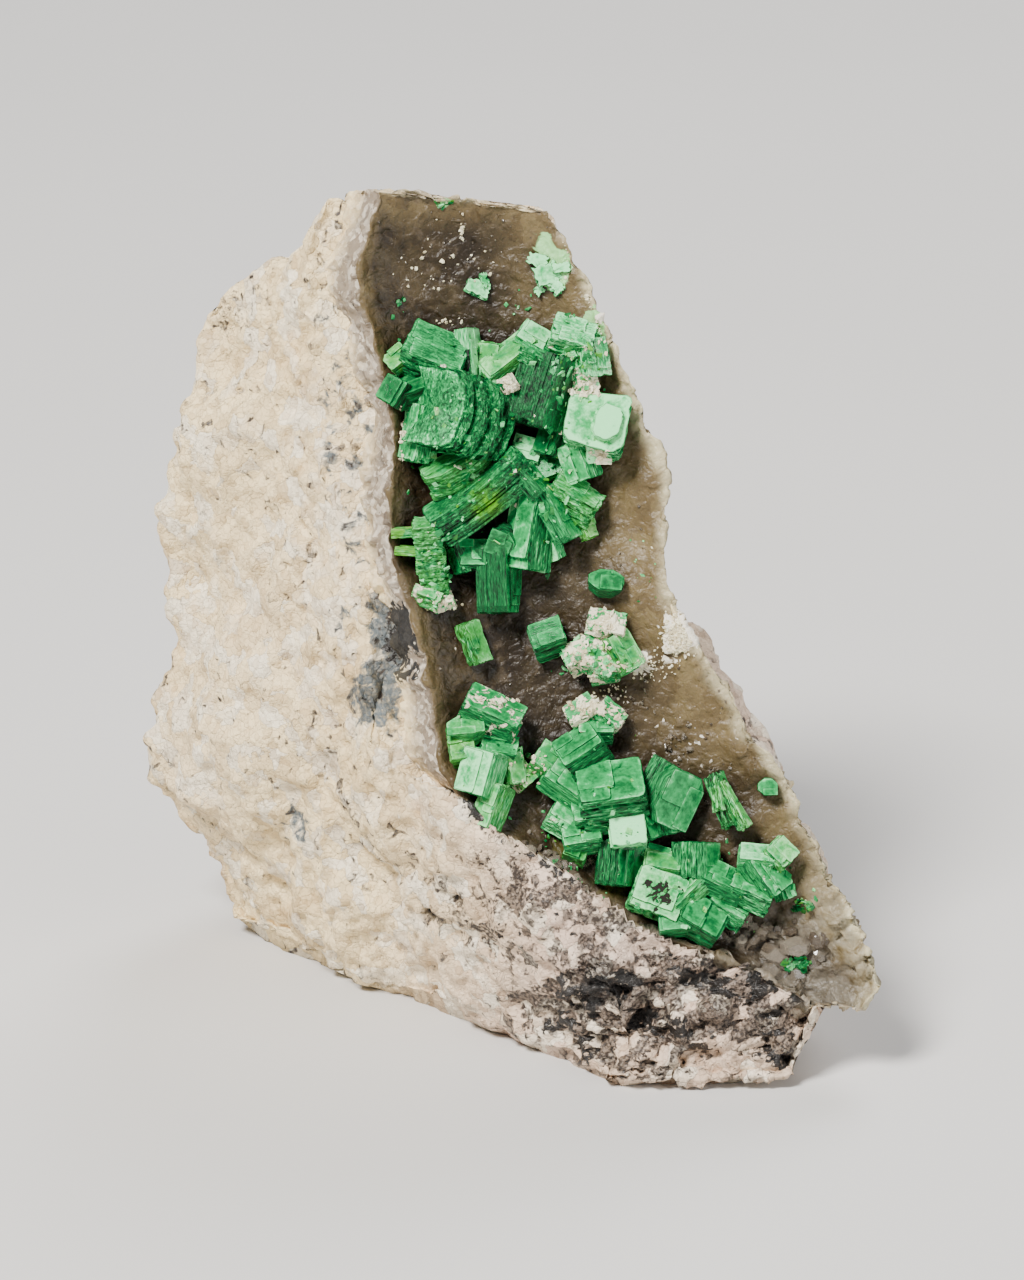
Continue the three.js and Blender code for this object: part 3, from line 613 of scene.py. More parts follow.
def crustDepth(q, s):
    # how far the crust's surface lies behind its lips: a trough, deepest left of its middle and
    # shallow at both ends
    along = (s - crust["bottom"]) / (crust["top"] - crust["bottom"])
    ends = np.sqrt(np.clip(4 * along * (1 - along), 0, None))
    return -(0.2 + crust["dip"] * ends) * np.sin(np.pi * np.clip(q, 0, 1) ** 0.7) - 0.15


def acrossCrust(x, s):
    # 0 at the crust's left edge to 1 at its right edge
    left, right = crustEdge("left", s), crustEdge("right", s)
    return np.clip((x - left) / (right - left), 0, 1)


def graniteRelief(rings):
    # how far the rock stands out: blocks of four sizes with scattered hollows, at the low front pale
    # lumps with dark crevices between them, on the other sides coarser blocks and a long swell.
    # It also gives where it faces front, where it is rugged, and its crevices (for the painted shade
    # in them), black and brown lumps, pits
    out = outwards(rings)
    relief = layered(blocks, rings, granite["relief"])
    cell, _, away = cells(rings, granite["hollowSize"], 41)
    hollow = ramp(0.42 - np.linalg.norm(away, axis=-1), 0, 0.3)
    hollow *= chance(cell, 44) > 1 - granite["hollowShare"]
    across, up, depth = fromFace(rings)
    front = ramp(out @ specimen["out"], 0.0, 0.3)
    holes = np.zeros_like(relief)
    for (x, s), reach in granite["pits"]:
        crooked = reach * (1 + 0.5 * wander(rings, 0.5, 45))
        holes = np.maximum(holes, front * ramp(1 - np.hypot(across - x, up - s) / crooked, 0, 0.4))
    rugged = front * ramp(across, 0, 4.5) * ramp(-up, -8.5, -5.5) * ramp(up, 0.4, 1.6)
    bent = rings + granite["lumpBend"] * np.stack([wander(rings, 0.8, seed) for seed in (31, 32, 33)], -1)
    lump, gap, _ = cells(bent, granite["lumpSize"], 34)
    crevice = ramp(granite["creviceWidth"] - gap, 0, granite["creviceWidth"])
    crevice = rugged * crevice * ramp(wander(rings, 2.2, 35), -0.5, 0.1)
    relief += rugged * granite["lumpRise"] * (chance(lump, 38) - 0.5)
    relief += rugged * layered(blocks, rings, granite["rubble"])
    (anyBlack, moreBlack), (anyBrown, moreBrown) = granite["micaLumps"], granite["brownLumps"]
    black = rugged * (chance(lump, 39) < anyBlack + moreBlack * spots(across, up, granite["dark"]))
    brown = rugged * (chance(lump, 40) < anyBrown + moreBrown * spots(across, up, granite["smoke"]))
    brown *= 1 - black
    relief -= granite["creviceDepth"] * crevice + granite["hollowDepth"] * hollow
    relief -= granite["spotDepth"] * front * spots(across, up, granite["hollows"])
    relief -= granite["pitDepth"] * holes
    relief += ramp(-depth, 4, 9) * (1 - front) * layered(blocks, rings, granite["farRelief"])
    relief += granite["sway"] * ramp(-depth, 7, 12) * wander(rings, 6.5, 101)
    relief *= ramp(rings[..., 2], -0.6, 0.8)
    return out * relief[..., None], (front, rugged, crevice, black, brown, holes)


def heldBack(rings):
    # where the crust lies over the granite, the granite stays behind it
    across, up, depth = fromFace(rings)
    bare = ramp(up, crust["exposedFrom"] - 2, crust["exposedFrom"])
    beside = across - crustEdge("left", up)
    lap = 0.15 + ramp(-up, -14.5, -12.5) * (0.3 + 0.25 * wander(rings, 0.9, 46))
    covered = beside > lap - (3.6 + 0.9 * wander(rings, 2.4, 48)) * bare
    covered &= (up > crust["bottom"] + 0.1) & (up < crust["top"] + 1)
    q = acrossCrust(across, up)
    floor = -(crust["thick"] + (crust["lipThick"] - crust["thick"]) * q) + 0.12
    floor += layered(wander, rings, granite["seat"]) * ramp(-beside, 1.9, 3.0)
    sunk = np.where(covered, np.minimum(depth, floor), depth)
    # on the right it keeps inside the crust's rim for a way back
    wayBack = 6 * ramp(-depth, 3.0, 9.0) + 6 * ramp(-up, -5.5, -4.0)
    across = np.minimum(across, crustEdge("right", up) - 0.45 + wayBack)
    # the crown stays just below the crust's upper end
    limit = crust["top"] + 0.05 - crust["slant"] * (crust["top"] - crust["slantFrom"]) * q
    up = np.minimum(up, limit - 0.6 * np.abs(wander(rings, 1.3, 47)))
    return onFace(across, up, sunk)


def makeGranite():
    # the rings moved out by the relief and held back behind the crust, with the places of mica, smoky
    # quartz, rose feldspar, stains and painted shade laid on it
    rings = graniteRings()
    moved, places = graniteRelief(rings)
    rings = rings + moved
    rings[..., 2] = np.maximum(rings[..., 2], 0)
    points, quads, triangles = tube(heldBack(rings))
    x, s, d = fromFace(points)
    front, rugged, crevice, black, brown, holes = (withEnds(values) for values in places)
    behind = ramp(-d, 5, 10) * (1 - front)
    micaAndShade = granite["micaShare"] + behind * (0.45 * ramp(wander(points, 3.5, 51), 0.2, 0.8) + 0.1)
    micaAndShade += front * spots(x, s, granite["dark"])
    offEdge = crustEdge("left", s) - x
    # more dark flecks in a narrow line just beside the crust's left edge
    aside, reach, strength = granite["darkAlongEdge"]
    darkAlongEdge = np.exp(-((offEdge - aside) / reach) ** 2) * ramp(s, 9, 12) * ramp(-s, -17.5, -16)
    micaAndShade += front * strength * darkAlongEdge
    # painted shade: the crevices darkened with mica black
    micaAndShade = micaAndShade * (1 - 0.6 * rugged) + 1.5 * black + 0.7 * crevice
    aside, reach, strength = granite["haze"]
    haze = strength * np.exp(-((offEdge - aside) / reach) ** 2) * ramp(s, 16, 19) * ramp(-s, -43, -38)
    slate = front * np.clip(spots(x, s, granite["slate"]) + haze, 0, 1)
    rose = ramp(x, -9, 3) * (1 - 0.5 * ramp(points[:, 2], 14, 24))
    rose = np.clip(rose + 0.25 * wander(points, 9, 61), 0, 1)
    # smoky quartz, with painted shadow at the low right
    smoke = front * spots(x, s, granite["smoke"]) * (1 - 0.55 * rugged)
    smoke = granite["smokeShare"] + smoke + 0.25 * wander(points, 5, 63)
    smoke += behind * 0.5 * ramp(wander(points, 2.6, 67), 0.1, 0.6)
    # painted shade: the crevices darkened with smoky brown
    smoke = np.clip(smoke, 0, 1) + 1.3 * crevice + 1.1 * brown
    ochre = front * spots(x, s, granite["ochre"]) + behind * 0.8 * ramp(wander(points, 4.2, 65), 0.15, 0.7)
    makePiece("granite", points, quads, triangles, graniteMaterial(), "granite", ["granite_matrix"],
              smooth=True, rose=rose, dark=np.clip(micaAndShade, 0, 1.2), slate=slate, pit=holes,
              ochre=np.clip(ochre, 0, 1), smoke=np.clip(smoke, 0, 1.6))


makeGranite()


# Where the torbernite sits

def book(place, size, toward, lean, tone, **unusual):
    # one crystal. place: across, up the slope and out of the crust; size: visible edge, depth and
    # thickness; toward and lean: which way the plates face; tone: -1 darkest to 1 palest; lime, white,
    # pits: how much is yellow-green, coated or holed; fray, hackly: how loose and crumbly its plates are
    usual = {"fray": 0.7, "cut": 0, "taper": 0, "fan": 0, "bow": 0, "lime": 0, "limeSpot": 0, "white": 0,
             "pits": 0, "hackly": 0, "plain": False}
    return {"at": place, "size": size, "toward": toward, "lean": lean, "tone": tone, **usual, **unusual}


clusters = {
    "torbernite_upper_cluster": [
        book((-3.9, 36.8, 1.1), (2.9, 2.2, 1.9), 68, 36, 0.12, fray=1.4, hackly=0.7),
        book((-2.5, 36.4, 1.3), (1.7, 1.3, 1.2), 5, 68, -0.45, fray=1.2),
        book((-2.15, 37.1, 1.1), (2.3, 1.5, 0.6), 8, 70, 0.65, fray=0.3),
        book((-5.7, 36.8, 0.6), (1.2, 1.1, 0.5), 130, 40, 0.25, lime=0.4),
        book((-5.8, 35.1, 0.7), (1.3, 1.2, 0.8), 150, 35, -0.25),
        book((-4.7, 35.2, 0.9), (1.7, 1.3, 1.1), 110, 45, -0.15),
        book((-2.3, 33.9, 1.9), (3.7, 3.1, 3.1), 166, 45, 0.14, fray=1.4, bow=0.25, hackly=1),
        book((-4.5, 33.1, 1.0), (2.7, 1.4, 1.1), 170, 55, 0.35, fray=1.5, hackly=0.6),
        book((-2.7, 31.2, 1.8), (3.2, 1.5, 1.3), 118, 55, 0.22, cut=0.25, lime=0.2, fray=1.2, hackly=0.5),
        book((-1.5, 29.9, 1.9), (5.2, 2.3, 1.5), 128, 65, -0.05, fray=1.5, bow=0.12, limeSpot=0.9,
             hackly=0.8),
        book((0.65, 31, 2.1), (2.4, 1.6, 0.6), 40, 70, -0.05, fray=0.4),
        book((2.25, 29.1, 1.5), (2.7, 1.7, 0.8), 28, 65, 0.1, fray=0.5),
        book((0.95, 28.4, 1.4), (3.8, 1.6, 1.5), 171, 40, 0.22, bow=-0.12),
        book((-0.5, 27.8, 1.8), (1.3, 1.4, 0.9), 250, 30, -0.12, cut=0.28),
        book((-0.7, 25.7, 0.9), (2.9, 1.7, 1.4), 0, 72, -0.12, taper=-0.3, fray=0.25),
        book((-1.9, 27, 1.2), (1.4, 1.3, 0.8), 90, 20, 0.1),
        book((-2.6, 27.1, 0.9), (1.9, 1.2, 0.8), 200, 65, -0.2, fray=1.2),
        book((-4.05, 26.9, 0.9), (1.5, 1.6, 3.3), 96, 65, 0.32, lime=0.22, fray=1.5, hackly=0.6),
        book((-5.2, 28.1, 0.7), (1.6, 0.9, 0.25), 92, 75, 0.35, lime=0.8),
        book((-5.1, 27.2, 0.7), (1.5, 0.9, 0.25), 86, 75, 0.35, lime=0.8),
        book((-4.3, 24.9, 0.5), (1.5, 0.9, 0.6), 70, 50, 0.5, lime=0.3, white=0.35, fray=1.2),
        book((-3.45, 24.7, 0.5), (1.1, 0.9, 0.5), 110, 40, 0.65, white=0.5, fray=1.2),
        book((-1.1, 36.8, 0.9), (1.6, 1.4, 0.6), 170, 35, 0.3, lime=0.25),
        book((-0.1, 36.9, 1.2), (2.9, 1.4, 0.8), 128, 40, 0.32, lime=0.3, fray=0.4),
        book((0.95, 37.8, 1.0), (1.4, 1.2, 0.9), 60, 30, 0.65, fray=0.8),
        book((1.75, 35.2, 1.3), (3.4, 2.5, 2.2), -18, 55, -0.22, fray=0.9, hackly=0.8),
        book((1.3, 36.9, 1.6), (1.9, 1.1, 0.7), 60, 45, 0.25, fray=1.5, hackly=0.8),
        book((3.0, 37.7, 0.9), (2.1, 1.6, 1.5), 75, 32, 0.55, fray=1.4, white=0.15, hackly=0.6),
        book((3.75, 36.8, 0.9), (1.8, 1.5, 1.4), 10, 38, 0.5, fray=1.5, white=0.28, hackly=0.6),
        book((2.5, 36.5, 1.2), (1.7, 1.4, 1.1), 120, 45, 0.4, fray=1.4, hackly=0.7),
        book((3.2, 36.0, 1.1), (1.3, 1.1, 0.9), 200, 30, 0.35, fray=1.5, white=0.25, hackly=0.6),
        book((3.7, 35.5, 1.2), (1.1, 1.0, 0.9), 20, 20, 0.7, cut=0.2, white=0.6, fray=1.5),
        book((4.2, 33.5, 1.3), (2.8, 2.9, 1.6), 80, 15, 0.52, cut=0.06, taper=0.2, fray=1.4, plain=True),
        book((4.7, 33.5, 2.1), (1.3, 1.7, 0.6), 70, 20, 0.95, cut=0.2, fray=1.2, plain=True),
        book((4.35, 32.1, 1.7), (1.2, 1.0, 0.4), 270, 35, 0.9, white=0.4),
        book((3.4, 31.7, 1.2), (1.9, 1.3, 1.0), 200, 40, 0.3),
        book((2.2, 32.7, 0.9), (1.6, 1.4, 1.1), 160, 50, -0.2),
        book((-0.25, 35.5, 2.1), (0.9, 0.7, 0.9), 25, 50, 0.8, taper=0.5, white=0.8, fray=1.6),
        book((0.7, 32.3, 0.8), (1.4, 1.2, 0.5), 75, 25, 0.55),
        book((1.6, 31.4, 0.7), (1.6, 1.3, 0.5), 110, 20, 0.12),
        book((3.1, 29.8, 1.0), (2.4, 1.7, 1.2), 60, 55, 0.3, lime=0.2, fray=1.6, hackly=0.6),
        book((3.7, 28.5, 0.6), (1.3, 0.8, 0.5), 20, 45, 0.35, lime=0.5, fray=1.2),
        book((1.95, 27.4, 0.6), (1.3, 1.0, 0.6), 200, 40, 0.45),
    ],
    "torbernite_middle_cluster": [
        book((1.8, 22.8, 0.7), (1.6, 1.5, 1.1), 110, 35, -0.02),
        book((4.7, 23.4, 0.8), (1.8, 1.3, 1.0), 80, 30, 0.35, white=0.52, fray=1.4, hackly=0.5),
        book((3.4, 22.0, 0.7), (1.6, 1.4, 1.0), 120, 35, 0.5, white=0.48, fray=1.4, hackly=0.5),
        book((4.3, 21.9, 0.9), (1.9, 1.8, 1.1), 60, 25, 0.5, white=0.46, fray=1.5, hackly=0.5),
        book((5.5, 22.1, 0.8), (1.9, 1.4, 0.9), 30, 35, 0.3, lime=0.3, white=0.25),
        book((4.6, 21.2, 0.7), (1.4, 1.0, 0.8), 100, 30, 0.3, white=0.35),
    ],
    "torbernite_lower_cluster": [
        book((-1.0, 19.0, 1.0), (2.8, 1.6, 1.2), 65, 50, 0.1, white=0.34),
        book((-2.3, 18.2, 0.8), (1.8, 1.3, 0.8), 95, 45, 0.25, cut=0.35, lime=0.15, fray=0.3),
        book((-2.5, 17.2, 0.7), (1.2, 1.3, 0.9), 100, 30, 0.1, lime=0.45, pits=0.35),
        book((-0.7, 17.2, 1.0), (1.8, 1.3, 0.9), 80, 45, 0.1),
        book((-1.5, 16.1, 1.3), (2.1, 1.7, 1.3), 165, 35, 0.6, fray=0.3),
        book((-0.1, 16.4, 0.9), (1.7, 1.1, 0.9), 10, 40, 0.3, lime=0.3, fray=1.2),
        book((-1.0, 14.5, 0.8), (2.1, 1.3, 1.0), 160, 40, 0.4, lime=0.25, white=0.15),
        book((0.45, 15.9, 0.6), (1.1, 1.0, 0.8), 40, 30, 0.4, lime=0.5, white=0.35, pits=0.3),
        book((3.6, 19.0, 0.8), (1.5, 1.2, 1.0), 120, 40, 0.3, white=0.5, fray=1.3, hackly=0.4),
        book((4.8, 18.8, 0.8), (1.5, 1.2, 1.0), 50, 40, 0.3, white=0.44, fray=1.3, hackly=0.4),
        book((4.2, 18.3, 0.8), (1.6, 1.2, 1.0), 90, 35, 0.2, white=0.22),
        book((3.6, 17.1, 1.3), (2.1, 1.8, 1.4), 124, 50, 0.0, fray=0.5),
        book((1.95, 16.5, 0.9), (1.7, 1.4, 0.9), 55, 30, 0.35, lime=0.2, fray=0.3),
        book((2.8, 15.4, 1.1), (2.4, 1.4, 1.0), 55, 40, 0.28, fray=0.3),
        book((5.0, 14.9, 1.7), (3.1, 2.5, 2.1), 98, 45, 0.08, fray=0.9),
        book((6.5, 14.3, 1.2), (3.0, 1.7, 0.8), 20, 60, 0.02),
        book((5.75, 13.2, 1.9), (1.7, 1.5, 1.2), 95, 12, 0.92, fray=1.0, plain=True),
        book((5.1, 11.6, 0.9), (2.1, 1.4, 1.7), -5, 65, -0.1, fray=0.8, fan=0.5),
        book((4.1, 14.0, 1.2), (1.9, 1.6, 1.3), 100, 40, 0.15),
        book((2.6, 13.7, 0.7), (1.5, 1.4, 0.9), 60, 30, 0.5, white=0.25),
        book((3.5, 12.9, 1.0), (1.8, 1.6, 1.1), 100, 40, 0.2),
        book((3.2, 12.1, 0.6), (1.1, 1.0, 0.7), 70, 30, 0.05, lime=0.25),
        book((8.0, 14.9, 1.3), (2.6, 2.2, 1.2), -25, 35, 0.1, cut=0.2, fray=0.4),
        book((7.3, 15.8, 1.0), (1.8, 1.1, 0.9), -30, 50, 0.05),
        book((7.8, 13.8, 0.9), (1.5, 1.2, 0.9), 10, 55, 0.1),
        book((7.25, 11.9, 0.7), (1.2, 0.7, 0.6), 75, 40, 0.0),
        book((7.5, 11.4, 1.0), (1.7, 1.2, 0.9), 80, 45, 0.3, lime=0.25, fray=0.4),
        book((9.2, 11.7, 1.1), (1.7, 1.4, 1.7), 0, 55, 0.15),
        book((7.3, 10.0, 1.2), (2.4, 2.1, 1.2), 70, 15, 0.42, lime=0.12, pits=0.85, fray=1.1),
        book((8.95, 10.2, 1.4), (2.1, 1.4, 0.7), 135, 60, 0.28, lime=0.12),
        book((10.6, 10.6, 1.3), (2.1, 1.4, 0.9), 65, 45, 0.1, fray=0.4),
        book((11.9, 10.1, 1.2), (2.1, 1.4, 1.0), 65, 50, 0.28, fray=1.2),
        book((8.1, 8.8, 1.0), (1.4, 1.5, 1.2), 95, 20, 0.15, fray=0.3),
        book((9.6, 8.9, 1.1), (2.0, 2.1, 1.3), 60, 30, 0.0, fray=0.4),
        book((10.8, 9.2, 1.0), (1.9, 1.1, 0.9), 60, 50, 0.22, fray=1.3),
        book((12.2, 11.8, 1.1), (1.6, 1.1, 0.9), 85, 45, 0.5, fray=0.3),
        book((12.6, 10.9, 1.0), (2.1, 1.5, 1.1), 35, 45, 0.15),
        book((13.3, 12.0, 0.8), (1.3, 1.3, 0.9), 45, 30, 0.45, lime=0.3, fray=1.1),
        book((13.5, 10.3, 0.5), (1.1, 0.8, 0.6), 20, 40, 0.2),
    ],
    "torbernite_octagon_crystal": [
        book((4.7, 25.6, 0.6), (1.6, 1.1, 0.8), 85, 25, -0.1, cut=0.3, fray=0.3),
    ],
    "torbernite_shard_crystal": [
        book((-1.95, 22.6, 0.5), (2.0, 1.1, 0.7), 20, 45, 0.1, lime=0.3, fray=1.6),
    ],
    "torbernite_pitted_crystal": [
        book((10.6, 14.75, 0.9), (2.6, 1.1, 0.7), 22, 55, -0.1, taper=0.3, lime=0.1, pits=0.95, fray=1.7),
        book((11.0, 14.5, 1.2), (2.5, 0.8, 0.5), 30, 62, 0.3, taper=0.5, lime=0.35, pits=0.5, fray=1.8),
        book((10.3, 15.1, 1.1), (1.7, 0.8, 0.45), 12, 50, 0.35, taper=0.4, lime=0.25, pits=0.4, fray=1.8),
    ],
    "torbernite_flake_left": [
        book((-1.75, 40.4, 0.2), (1.2, 1.1, 0.25), 75, 6, 0.6, taper=0.3, fray=1.9, plain=True),
        book((-1.4, 40.8, 0.22), (0.8, 0.5, 0.25), 20, 8, 0.45, fray=2.0, plain=True),
    ],
    "torbernite_flake_right": [
        book((1.25, 41.8, 0.16), (1.0, 1.1, 0.2), 70, 6, 0.7, taper=0.4, fray=2.2, plain=True),
        book((1.75, 41.1, 0.18), (1.1, 1.3, 0.22), 20, 8, 0.65, fray=2.2, plain=True),
        book((2.2, 40.5, 0.14), (0.8, 0.9, 0.2), 130, 5, 0.75, fray=2.2, plain=True),
        book((2.45, 41.4, 0.12), (0.9, 0.7, 0.18), 95, 6, 0.8, fray=2.0, plain=True),
        book((1.4, 40.3, 0.12), (0.5, 0.6, 0.16), 45, 6, 0.6, fray=2.0, plain=True),
    ],
    "torbernite_flake_low": [
        book((12.8, 15.4, 0.35), (0.9, 0.8, 0.5), 90, 6, 0.1, cut=0.3, fray=0.2),
    ],
}


# Smoky quartz crust

crustLook = {
    "valley": (0.021, 0.0130, 0.0048), "vein": (0.060, 0.042, 0.0175), "lip": (0.172, 0.126, 0.056),
    "wall": (0.25, 0.20, 0.145), "wallGrain": (0.58, 0.51, 0.41), "wallDark": (0.085, 0.06, 0.04),
    "rim": (0.52, 0.46, 0.29), "foot": (0.009, 0.004, 0.0015),
    "crumb": (0.88, 0.81, 0.67), "spark": (0.80, 0.74, 0.64), "mint": (0.33, 0.68, 0.27),
    "olive": (0.09, 0.08, 0.012), "clear": (0.19, 0.168, 0.13), "line": (0.10, 0.075, 0.05),
    "band": (0.012, 0.013, 0.014),
}


def crustMaterial():
    # dark brown quartz, foggy at several scales and tan where it thickens into a lip, with faint
    # pale lines round its grains, painted glints of tiny faces and painted shade round the crystals' feet
    look = crustLook
    material, tree, shader = newMaterial("smokyQuartz")
    place = inMillimetres(tree)
    tips = grains(place, 0.5, 0.7, 0.12)
    wide = grains(place, 1.1, 0.8, 0.10)
    glints = grains(place, 0.15, 0.15)
    small = grains(place, 0.36, 0.8, 0.1)
    fog = noise(place, 0.30, 4.0, 0.5)
    cloudy = noise(place, 1.1, 5.0, 0.8)
    gritty = noise(place, 7.0, 3.0)
    lip, wall = painted(tree, "lip"), painted(tree, "wall")
    misty = fog * 0.6 + cloudy * 0.4
    colour = blend(spread(misty, 0.40, 0.66), look["valley"], look["vein"])
    mist = lip + (misty - 0.5) * (lip * 1.6)
    colour = blend(mist.held(), colour, look["lip"])
    colour = blend(patchy("clear", cloudy, 0.3, 0.7), colour, look["clear"])
    colour = shaded(colour, wide["Tone"], [[0, (0.66, 0.62, 0.58)], [1, (1, 1, 1)]])
    # painted shade: darker round the feet of the crystals
    colour = blend(painted(tree, "foot") * 0.7, colour, look["foot"])
    lines = maths("MAXIMUM", wide["Seam"], tips["Seam"] * 0.5) * spread(cloudy, 0.5, 0.68)
    colour = blend(lines * 0.5, colour, look["line"])
    # the broken walls: grainy, with dark patches and granite left on them
    side = blend(spread(small["Tone"] + (cloudy - 0.5), 0.3, 0.9), look["wall"], look["wallGrain"])
    side = blend(spread(cloudy, 0.52, 0.62) * 0.7, side, look["wallDark"])
    side = blend(patchy("outer", fog, 0.36, 0.56), side, graniteLook["cream"])
    colour = blend(wall, colour, side)
    colour = blend(blotched("band", cloudy, 2.4, 0.6, 0.75) * 0.95, colour, look["band"])
    # painted glints: pale specks where tiny faces would catch the light
    spark = spread(glints["Tone"] + (painted(tree, "glint") - 1.0) * 0.05, 0.982, 0.988)
    colour = blend(spark * spread(cloudy, 0.42, 0.55), colour, look["spark"])
    colour = blend(patchy("rim", cloudy, 0.25, 0.5), colour, look["rim"])
    colour = blend(blotched("mint", cloudy, 2.0, 0.5, 0.65), colour, look["mint"])
    colour = blend(patchy("olive", cloudy, 0.42, 0.58), colour, look["olive"])
    crumb = blotched("crumb", cloudy, 1.8, 0.42, 0.52)
    colour = blend(crumb, colour, look["crumb"])
    roughness = (0.26 + maths("MAXIMUM", crumb, wall) * 0.40 + gritty * 0.35).held()
    lumps = noise(place, 1.7, 2.0, 0.5)
    height = lumps * 0.6 + gritty * 0.06 + tips["Height"] * 0.13 + small["Height"] * 0.07
    finishSurface(shader, colour, roughness, height, 0.00034,
                  **{"IOR": 1.54, "Subsurface Weight": 0.15, "Subsurface Radius": (1.0, 0.7, 0.45),
                     "Subsurface Scale": 0.0006, "Specular IOR Level": 0.3})
    return material


def crustRings():
    # ring across the crust at each step up the slope: the hollowed front from left to right, down
    # the right wall, back along the flat back and up the broken left wall
    s = np.linspace(crust["bottom"], crust["top"], crust["rows"] + 1)[:, None]
    bare = ramp(s, crust["exposedFrom"] - 2, crust["exposedFrom"])
    along = np.concatenate([np.zeros_like(s), s, np.zeros_like(s)], 1)
    left = crustEdge("left", s) - 0.15 + crust["jag"] * layered(wander, along, crust["leftJags"])[:, None]
    right = crustEdge("right", s) + crust["jag"] * layered(wander, along, crust["rightJags"])[:, None]
    q = np.linspace(0, 1, crust["frontColumns"] + 1)[None]
    x = left + (right - left) * q
    front = np.stack([x, s + 0 * x, crustDepth(acrossCrust(x, s + 0 * x), s)], -1)
    uneven = layered(wander, along, crust["uneven"])[:, None]
    flare = crust["flare"] * bare * (1 + 0.35 * uneven)
    backLeft = np.concatenate([left - flare, s, -crust["thick"] - 0.3 * np.abs(uneven)], -1)[:, None]
    lipBack = -crust["lipThick"] - 1.1 * np.abs(uneven)
    backRight = np.concatenate([right - crust["overhang"], s, lipBack], -1)[:, None]
    t = (np.arange(1, crust["wallColumns"]) / crust["wallColumns"])[None, :, None]
    rightWall = front[:, -1:] * (1 - t) + backRight * t
    leftWall = backLeft * (1 - t) + front[:, :1] * t
    t = np.linspace(0, 1, crust["backColumns"] + 1)[None, :, None]
    back = backRight * (1 - t) + backLeft * t
    rings = np.concatenate([front, rightWall, back, leftWall], axis=1)
    drop = crust["slant"] * np.clip(rings[..., 1] - crust["slantFrom"], 0, None)
    rings[..., 1] -= drop * acrossCrust(rings[..., 0], rings[..., 1])
    sideways = rings * np.array([1.0, 0, 0.5])
    notches = sum(deep * np.abs(wander(sideways, *layer)) for deep, *layer in crust["notches"])
    rings[..., 1] -= notches * ramp(rings[..., 1] + drop, 43.5, 45.5)
    columns = [part.shape[1] for part in (front, rightWall, back, leftWall)]
    closing = np.linspace(0, 1, crust["endRows"] + 2)[1:-1, None, None]
    low = rings[0] * (1 - closing) + rings[0].mean(0) * closing
    high = rings[-1] * (1 - closing) + rings[-1].mean(0) * closing
    return np.concatenate([low[::-1], rings, high]), columns


